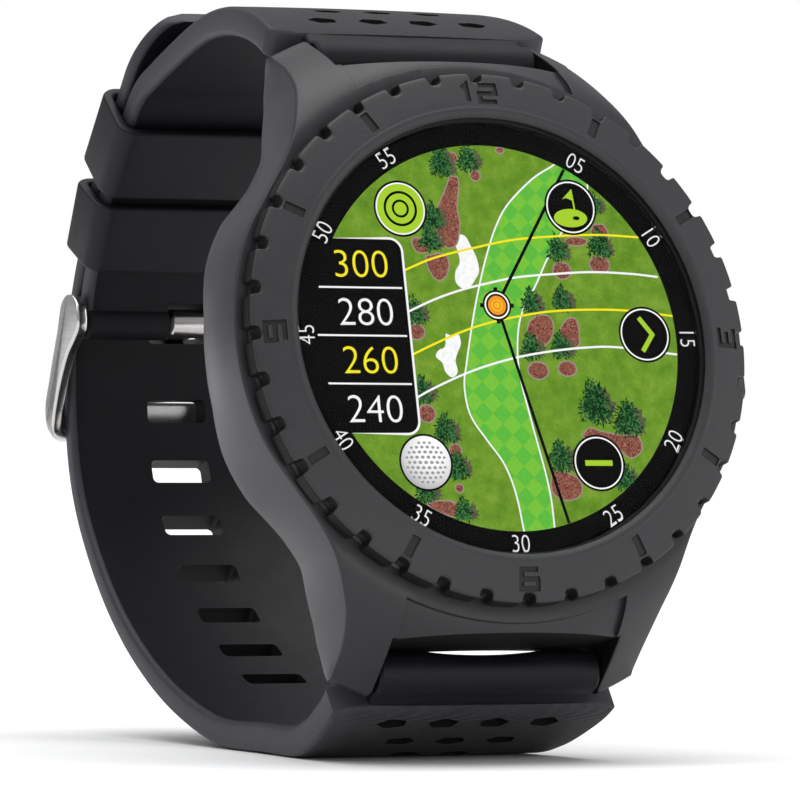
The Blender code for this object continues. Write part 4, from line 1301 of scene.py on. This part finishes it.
def dimple(u0, lift, side):
    """A shallow oval pit with a slightly wavy rim."""
    verts, faces = [], []
    rings = ((1.12, 0.6), (1.0, 0.0), (0.86, -0.5), (0.5, -0.8))
    steps = 20
    for share, depth in rings:
        for k in range(steps):
            a = 2 * math.pi * k / steps
            wave = 1 + 0.09 * math.sin(5 * a + u0)
            u = u0 + 1.35 * share * wave * math.cos(a)
            verts.append((u, 0.85 * share * wave * math.sin(a), side * (1.5 + depth)))
    faces = grid_faces(len(rings), steps, False, True)
    return verts, faces + end_caps(verts, steps), lift


def barrel(name, side):
    """The rolled end of a strap half between the lugs, slimmer towards the case to leave a gap."""
    steps = 40
    seam = 24
    stations = [(-ROLL_HALF, 0.3), (-ROLL_HALF + 0.25, 0.08)] + [(1.5 * k, 0.0) for k in range(-6, 7)]
    stations += [(ROLL_HALF - 0.25, 0.08), (ROLL_HALF, 0.3)]
    verts = []
    for x, taper in stations:
        waist = max(0.2, 0.64 - 0.012 * x * x)
        for k in range(steps):
            a = 2 * math.pi * k / steps
            r = ROLL_R - taper - waist * max(0.0, -math.sin(a)) ** 1.5 + (0.07 if k == seam else 0.0)
            verts.append((x, BAR[0] + r * math.cos(a), side * (BAR[1] + r * math.sin(a))))
    for x in (ROLL_HALF, -ROLL_HALF):
        verts += [(x, BAR[0] + u, side * (BAR[1] + v)) for u, v in ring_points(steps, BAR_BORE)]
    faces = grid_faces(len(stations) + 2, steps, True, True)
    return piece(name, verts, faces, "strap_rubber", "strap_inner")


def strap_neck(name, line, side, thick):
    """The tongue of rubber that joins the barrel to the ears."""
    stations = [s for s in strap_frames(line) if s[0].x < NECK_END_Y]
    ring = section(ROLL_HALF, thick, 0.0)
    rows = []
    for point, way in stations:
        out = Vector((way.y, -way.x)) * side
        rows += [(u, point.x + out.x * v, point.y + out.y * v) for u, v, _ in ring]
    faces = grid_faces(len(stations), len(ring), False, True) + end_caps(rows, len(ring))
    return piece(name, rows, faces, "strap_rubber", "strap_inner")


def straps():
    """Both strap halves with their holes, pits, necks and rolled ends."""
    lower = strap("strap_lower", LOWER_LINE, 1, LOWER_THICK, True)
    cutters = []
    everything = strap_frames(LOWER_LINE)
    first = distance_to(everything, TONGUE_HOLE) - HOLE_TONGUE * HOLE_PITCH
    for k in range(HOLE_COUNT):
        here = first + k * HOLE_PITCH + (TONGUE_HOLE_SHIFT if k == HOLE_TONGUE else 0.0)
        point, way = at_distance(everything, here)
        outline = rounded_rect(HOLE_HALF[0], TONGUE_HOLE_HALF if k == HOLE_TONGUE else HOLE_HALF[1], 0.5)
        cutters.append((*prism(outline, -3.0, 3.0, lambda u, v, w: (u, v, w)), path_lift(point, way)))
    cut(lower, cutters, 2)
    # The pits take the darker pit colour, as painted shade.
    cut(lower, dimples(everything, 1))
    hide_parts("lower_strap")
    barrel("strap_lower_barrel", -1)
    strap_neck("strap_lower_neck", LOWER_LINE, 1, LOWER_THICK[0])
    upper = strap("strap_upper", UPPER_LINE, -1, UPPER_THICK, False)
    roll = turned_bar(BUCKLE_ROLL_R, TAIL_HALF, BUCKLE_PIN.y, BUCKLE_PIN.z)
    slot = box_mesh((5.4, 8.0, 5.75), (0, BUCKLE_PIN.y, BUCKLE_PIN.z - 1.3))
    cut(upper, [(*slot, head)], 2)
    # The pits take the darker pit colour, as painted shade.
    cut(upper, dimples(strap_frames(UPPER_LINE), -1))
    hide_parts("upper_strap")
    end = piece("strap_upper_end", *roll, "strap_rubber", ["strap_inner", "strap_side"])
    # The cut faces take the lightened side colour, as painted light.
    cut(end, [(*slot, head)])
    barrel("strap_upper_barrel", 1)
    strap_neck("strap_upper_neck", UPPER_LINE, -1, UPPER_THICK[0])


def dimples(stations, side):
    """The pits in the outer face behind the lugs."""
    out = []
    for y, places in DIMPLE_ROWS:
        point, way = min(stations, key=lambda s: abs(s[0].x - y))
        out += [dimple(u, path_lift(point, way), side) for u in places]
    return out


def turned_bar(radius, half, y, z, bore=1.0):
    """A round roll along x with softened ends and a bore."""
    steps = 32
    soft = 0.3
    profile = ((-half, radius - soft), (-half + soft, radius), (half - soft, radius), (half, radius - soft),
               (half, bore), (-half, bore))
    verts = [(x, y + u, z + v) for x, r in profile for u, v in ring_points(steps, r)]
    return verts, grid_faces(len(profile), steps, True, True)


KEEPERS = {"keeper_upper": ("loop_upper", (56.0, 33.6), 37.0, 7.8),
           "keeper_lower": ("loop_lower", (62.6, 27.3), 50.5, 6.8)}
KEEPER_HALF_X = 12.3
KEEPER_HALF_STACK = 3.75
KEEPER_WALL = 1.05


def keepers():
    """Rubber loops: a rounded strip bent into a flat ring."""
    for node, (body, (cy, cz), degrees, length) in KEEPERS.items():
        a = math.radians(degrees)
        way = Vector((math.cos(a), -math.sin(a)))
        out = Vector((math.sin(a), math.cos(a)))
        path = rounded_rect(KEEPER_HALF_X - KEEPER_WALL / 2, KEEPER_HALF_STACK - KEEPER_WALL / 2, 1.25, 8)
        dense = []
        for k, p in enumerate(path):
            q = path[(k + 1) % len(path)]
            parts = max(1, round(math.dist(p, q) / 1.5))
            for j in range(parts):
                t = j / parts
                dense.append((p[0] + (q[0] - p[0]) * t, p[1] + (q[1] - p[1]) * t))
        verts = []
        cross = rounded_rect(KEEPER_WALL / 2, length / 2, 0.34, 4)
        count = len(dense)
        for k, (u, v) in enumerate(dense):
            before, after = Vector(dense[k - 1]), Vector(dense[(k + 1) % count])
            tangent = (after - before).normalized()
            normal = Vector((tangent.y, -tangent.x))
            for n_off, along_off in cross:
                du, dv = u + normal.x * n_off, v + normal.y * n_off
                verts.append((du, cy + out.x * dv + way.x * along_off, cz + out.y * dv + way.y * along_off))
        faces = grid_faces(count, len(cross), True, True)
        loop = piece(node + "_loop", verts, faces, "strap_rubber", "keeper", body, 40)
        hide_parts(node)


# ---------------------------------------------------------------- buckle

FRAME_ARM = [(65.9, 21.2), (67.3, 21.5), (68.7, 20.8), (70.0, 18.8), (71.7, 16.6), (73.6, 14.0),
             (75.4, 11.7), (76.0, 10.4), (75.7, 9.2), (74.7, 8.8), (73.6, 9.4), (72.6, 11.2),
             (70.7, 13.6), (68.4, 15.7), (66.3, 16.8), (65.0, 17.6), (64.6, 19.0), (64.9, 20.3)]
TONGUE = [(67.6, 19.9), (69.0, 19.5), (71.0, 19.3), (73.0, 18.6), (75.0, 16.7), (76.6, 14.0), (77.4, 11.4),
          (77.3, 9.6), (76.7, 9.4), (76.3, 10.8), (75.6, 13.3), (74.2, 15.9), (72.6, 17.4), (70.8, 17.9),
          (68.4, 17.7), (66.9, 17.5)]


def rounded_plate(outline, x0, x1, edge):
    """A plate across x with rounded rims, over a smooth closed outline in (y, z)."""
    closed = [tuple(p) for p in spline(outline + outline[:1], 0.3)][:-1]
    area = sum(a[0] * b[1] - b[0] * a[1] for a, b in zip(closed, closed[1:] + closed[:1]))
    if area < 0:
        closed = closed[::-1]
    rows = []
    steps = 4
    for k in range(steps + 1):
        a = math.pi / 2 * k / steps
        rows.append((inset(closed, edge * (1 - math.sin(a))), x0 + edge * (1 - math.cos(a))))
    rows += [(loop, x1 + x0 - x) for loop, x in rows[::-1]]
    verts = [(x, y, z) for loop, x in rows for y, z in loop]
    count = len(closed)
    faces = grid_faces(len(rows), count, False, True)
    faces += end_caps(verts, count)
    tags = [1] * ((len(rows) - 1) * count) + [0, 0]
    return verts, faces, tags


def corner_bend(y, z):
    """How far an arm bends inwards behind the strap, where it turns into the front bar."""
    behind = min(1.0, max(0.0, y - 73.5))
    return behind * 1.3 * (max(0.0, 13.5 - z) / 4.7) ** 2


FRONT_BAR = (75.2, 11.1)           # its middle, y and z


def buckle():
    """The frame's two arms and its front bar, and the tongue on its barrel."""
    for label, x0, x1 in (("left", -12.6, -11.5), ("right", 11.5, 12.6)):
        verts, faces, tags = rounded_plate(FRAME_ARM, x0, x1, 0.25)
        verts = [(x - math.copysign(corner_bend(y, z), x), y, z) for x, y, z in verts]
        arm = piece("buckle_arm_" + label, verts, faces, "steel", ["steel", "polished"], "buckle", 50, tags)
        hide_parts("buckle_frame")
    rows = []
    cross = rounded_rect(0.6, 1.9, 0.45, 4)
    lean = math.radians(24)
    c, s = math.cos(lean), math.sin(lean)
    for x in (-11.0, -10.0, 0.0, 10.0, 11.0):
        rows += [(x, FRONT_BAR[0] + u * c - v * s, FRONT_BAR[1] + u * s + v * c) for u, v in cross]
    faces = grid_faces(5, len(cross), False, True) + end_caps(rows, len(cross))
    piece("buckle_front_bar", rows, faces, "steel", "steel", "buckle", 50)
    verts, faces, tags = rounded_plate(TONGUE, -1.1, 1.1, 0.3)
    tongue = piece("tongue", verts, faces, "steel", ["steel", "polished"], "tongue", 50, tags)
    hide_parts("buckle_tongue")
    piece("tongue_barrel", *turned_bar(1.4, 2.3, BUCKLE_PIN.y, BUCKLE_PIN.z, 0.9), "steel", "polished",
          "tongue")


# ---------------------------------------------------------------- CAD nodes that stay

SLOT_LOOK = {"case_plastic": "case", "bezel_plastic": "bezel", "strap_rubber": "strap_inner",
             "seal_rubber": "seal",
             "steel": "steel", "glass": "glass", "dial_black": "ring", "screen": "turf",
             "inner_plastic": "inner",
             "board_green": "board", "battery_foil": "foil", "gold": "gold"}


def dress(node, mat):
    """Gives a CAD node that stays its look."""
    obj = frame["nodes"][node]
    for slot in obj.material_slots:
        slot.link = "OBJECT"
        slot.material = MAT[mat]


def dress_nodes():
    """Every CAD node by its slot, then the few that look different."""
    for node, slot in SLOT_OF.items():
        dress(node, SLOT_LOOK[slot])
    dress("rear_cover", "cover")
    dress("antenna_ring", "seal")
    for name in ("spring_bar_upper", "spring_bar_lower", "buckle_bar"):
        dress(name, "polished")


# ---------------------------------------------------------------- stage, light and camera

CAMERA = (-262.6, -519.7, -138.9)
VIEW_RIGHT = (0.905, -0.4139, -0.0979)
VIEW_DOWN = (0.0071, 0.2447, -0.9696)
FOCAL = 305.6
FILL = 0.42                        # what the white studio sends onto the watch
OVERHEAD = 2.7


def turn_only(vector):
    """A direction of the head's frame, in the row frame."""
    return RIGHT * vector[0] + DEPTH * vector[1] + UP * vector[2]


def stage():
    """A pale floor under a white studio; the world looks white but lights the watch more softly."""
    mesh = bpy.data.meshes.new("floor")
    size = 40.0
    mesh.from_pydata([(-size, -size, 0), (size, -size, 0), (size, size, 0), (-size, size, 0)], [],
                     [(0, 1, 2, 3)])
    floor = bpy.data.objects.new("floor", mesh)
    bpy.context.scene.collection.objects.link(floor)
    mat = Nodes("floor_white")
    mat.set(Base_Color=mat.ramp(mat.noise(3.0), [(0.0, (0.9, 0.9, 0.9)), (1.0, (0.92, 0.92, 0.92))]),
            Roughness=1.0)
    mat.set(**{"Specular_IOR_Level": 0.0})
    mesh.materials.append(mat.mat)
    world = bpy.data.worlds.new("studio")
    bpy.context.scene.world = world
    world.use_nodes = True
    tree = world.node_tree
    seen = tree.nodes["Background"]
    seen.inputs["Color"].default_value = (1.0, 1.0, 1.0, 1)
    seen.inputs["Strength"].default_value = 1.0
    fill = tree.nodes.new("ShaderNodeBackground")
    fill.inputs["Color"].default_value = (0.96, 0.97, 1.0, 1)
    fill.inputs["Strength"].default_value = FILL
    path = tree.nodes.new("ShaderNodeLightPath")
    mix = tree.nodes.new("ShaderNodeMixShader")
    tree.links.new(path.outputs["Is Camera Ray"], mix.inputs["Fac"])
    tree.links.new(fill.outputs["Background"], mix.inputs[1])
    tree.links.new(seen.outputs["Background"], mix.inputs[2])
    tree.links.new(mix.outputs["Shader"], tree.nodes["World Output"].inputs["Surface"])
    bpy.context.scene.view_settings.view_transform = "Standard"


def softbox(name, place, aim, size, power):
    """A rectangular lamp at a place, turned towards a point."""
    data = bpy.data.lights.new(name, "AREA")
    data.shape = "RECTANGLE"
    data.size, data.size_y = size
    data.energy = power
    lamp = bpy.data.objects.new(name, data)
    bpy.context.scene.collection.objects.link(lamp)
    lamp.location = place
    lamp.rotation_euler = (Vector(aim) - Vector(place)).to_track_quat("-Z", "Y").to_euler()


def lights():
    """A broad light from above whitens the floor; softboxes draw the edges."""
    data = bpy.data.lights.new("overhead_light", "SUN")
    data.energy = OVERHEAD
    data.angle = math.radians(70)
    lamp = bpy.data.objects.new("overhead_light", data)
    bpy.context.scene.collection.objects.link(lamp)
    aim = (0, -0.01, 0.035)
    softbox("left_softbox", (-0.7, -0.05, 0.5), aim, (0.15, 0.4), 0.8)
    softbox("right_softbox", (0.75, -0.5, 0.3), aim, (0.2, 0.6), 1.6)
    softbox("low_softbox", (0.1, -0.9, 0.05), aim, (0.5, 0.2), 1.6)


def camera():
    """The photograph's viewpoint, given in the head's frame."""
    data = bpy.data.cameras.new("camera")
    data.lens = FOCAL
    data.sensor_width = 36.0
    data.clip_start = 0.01
    data.clip_end = 50.0
    cam = bpy.data.objects.new("camera", data)
    bpy.context.scene.collection.objects.link(cam)
    right = turn_only(VIEW_RIGHT).normalized()
    up = -turn_only(VIEW_DOWN).normalized()
    rotation = Matrix((right, up, right.cross(up).normalized())).transposed()
    cam.matrix_world = Matrix.Translation(head(*CAMERA)) @ rotation.to_4x4()
    bpy.context.scene.camera = cam


dress_nodes()
case_shell()
bezel()
screen_map()
dial_ring()
button()
straps()
keepers()
buckle()
stage()
lights()
camera()

bpy.context.view_layer.update()
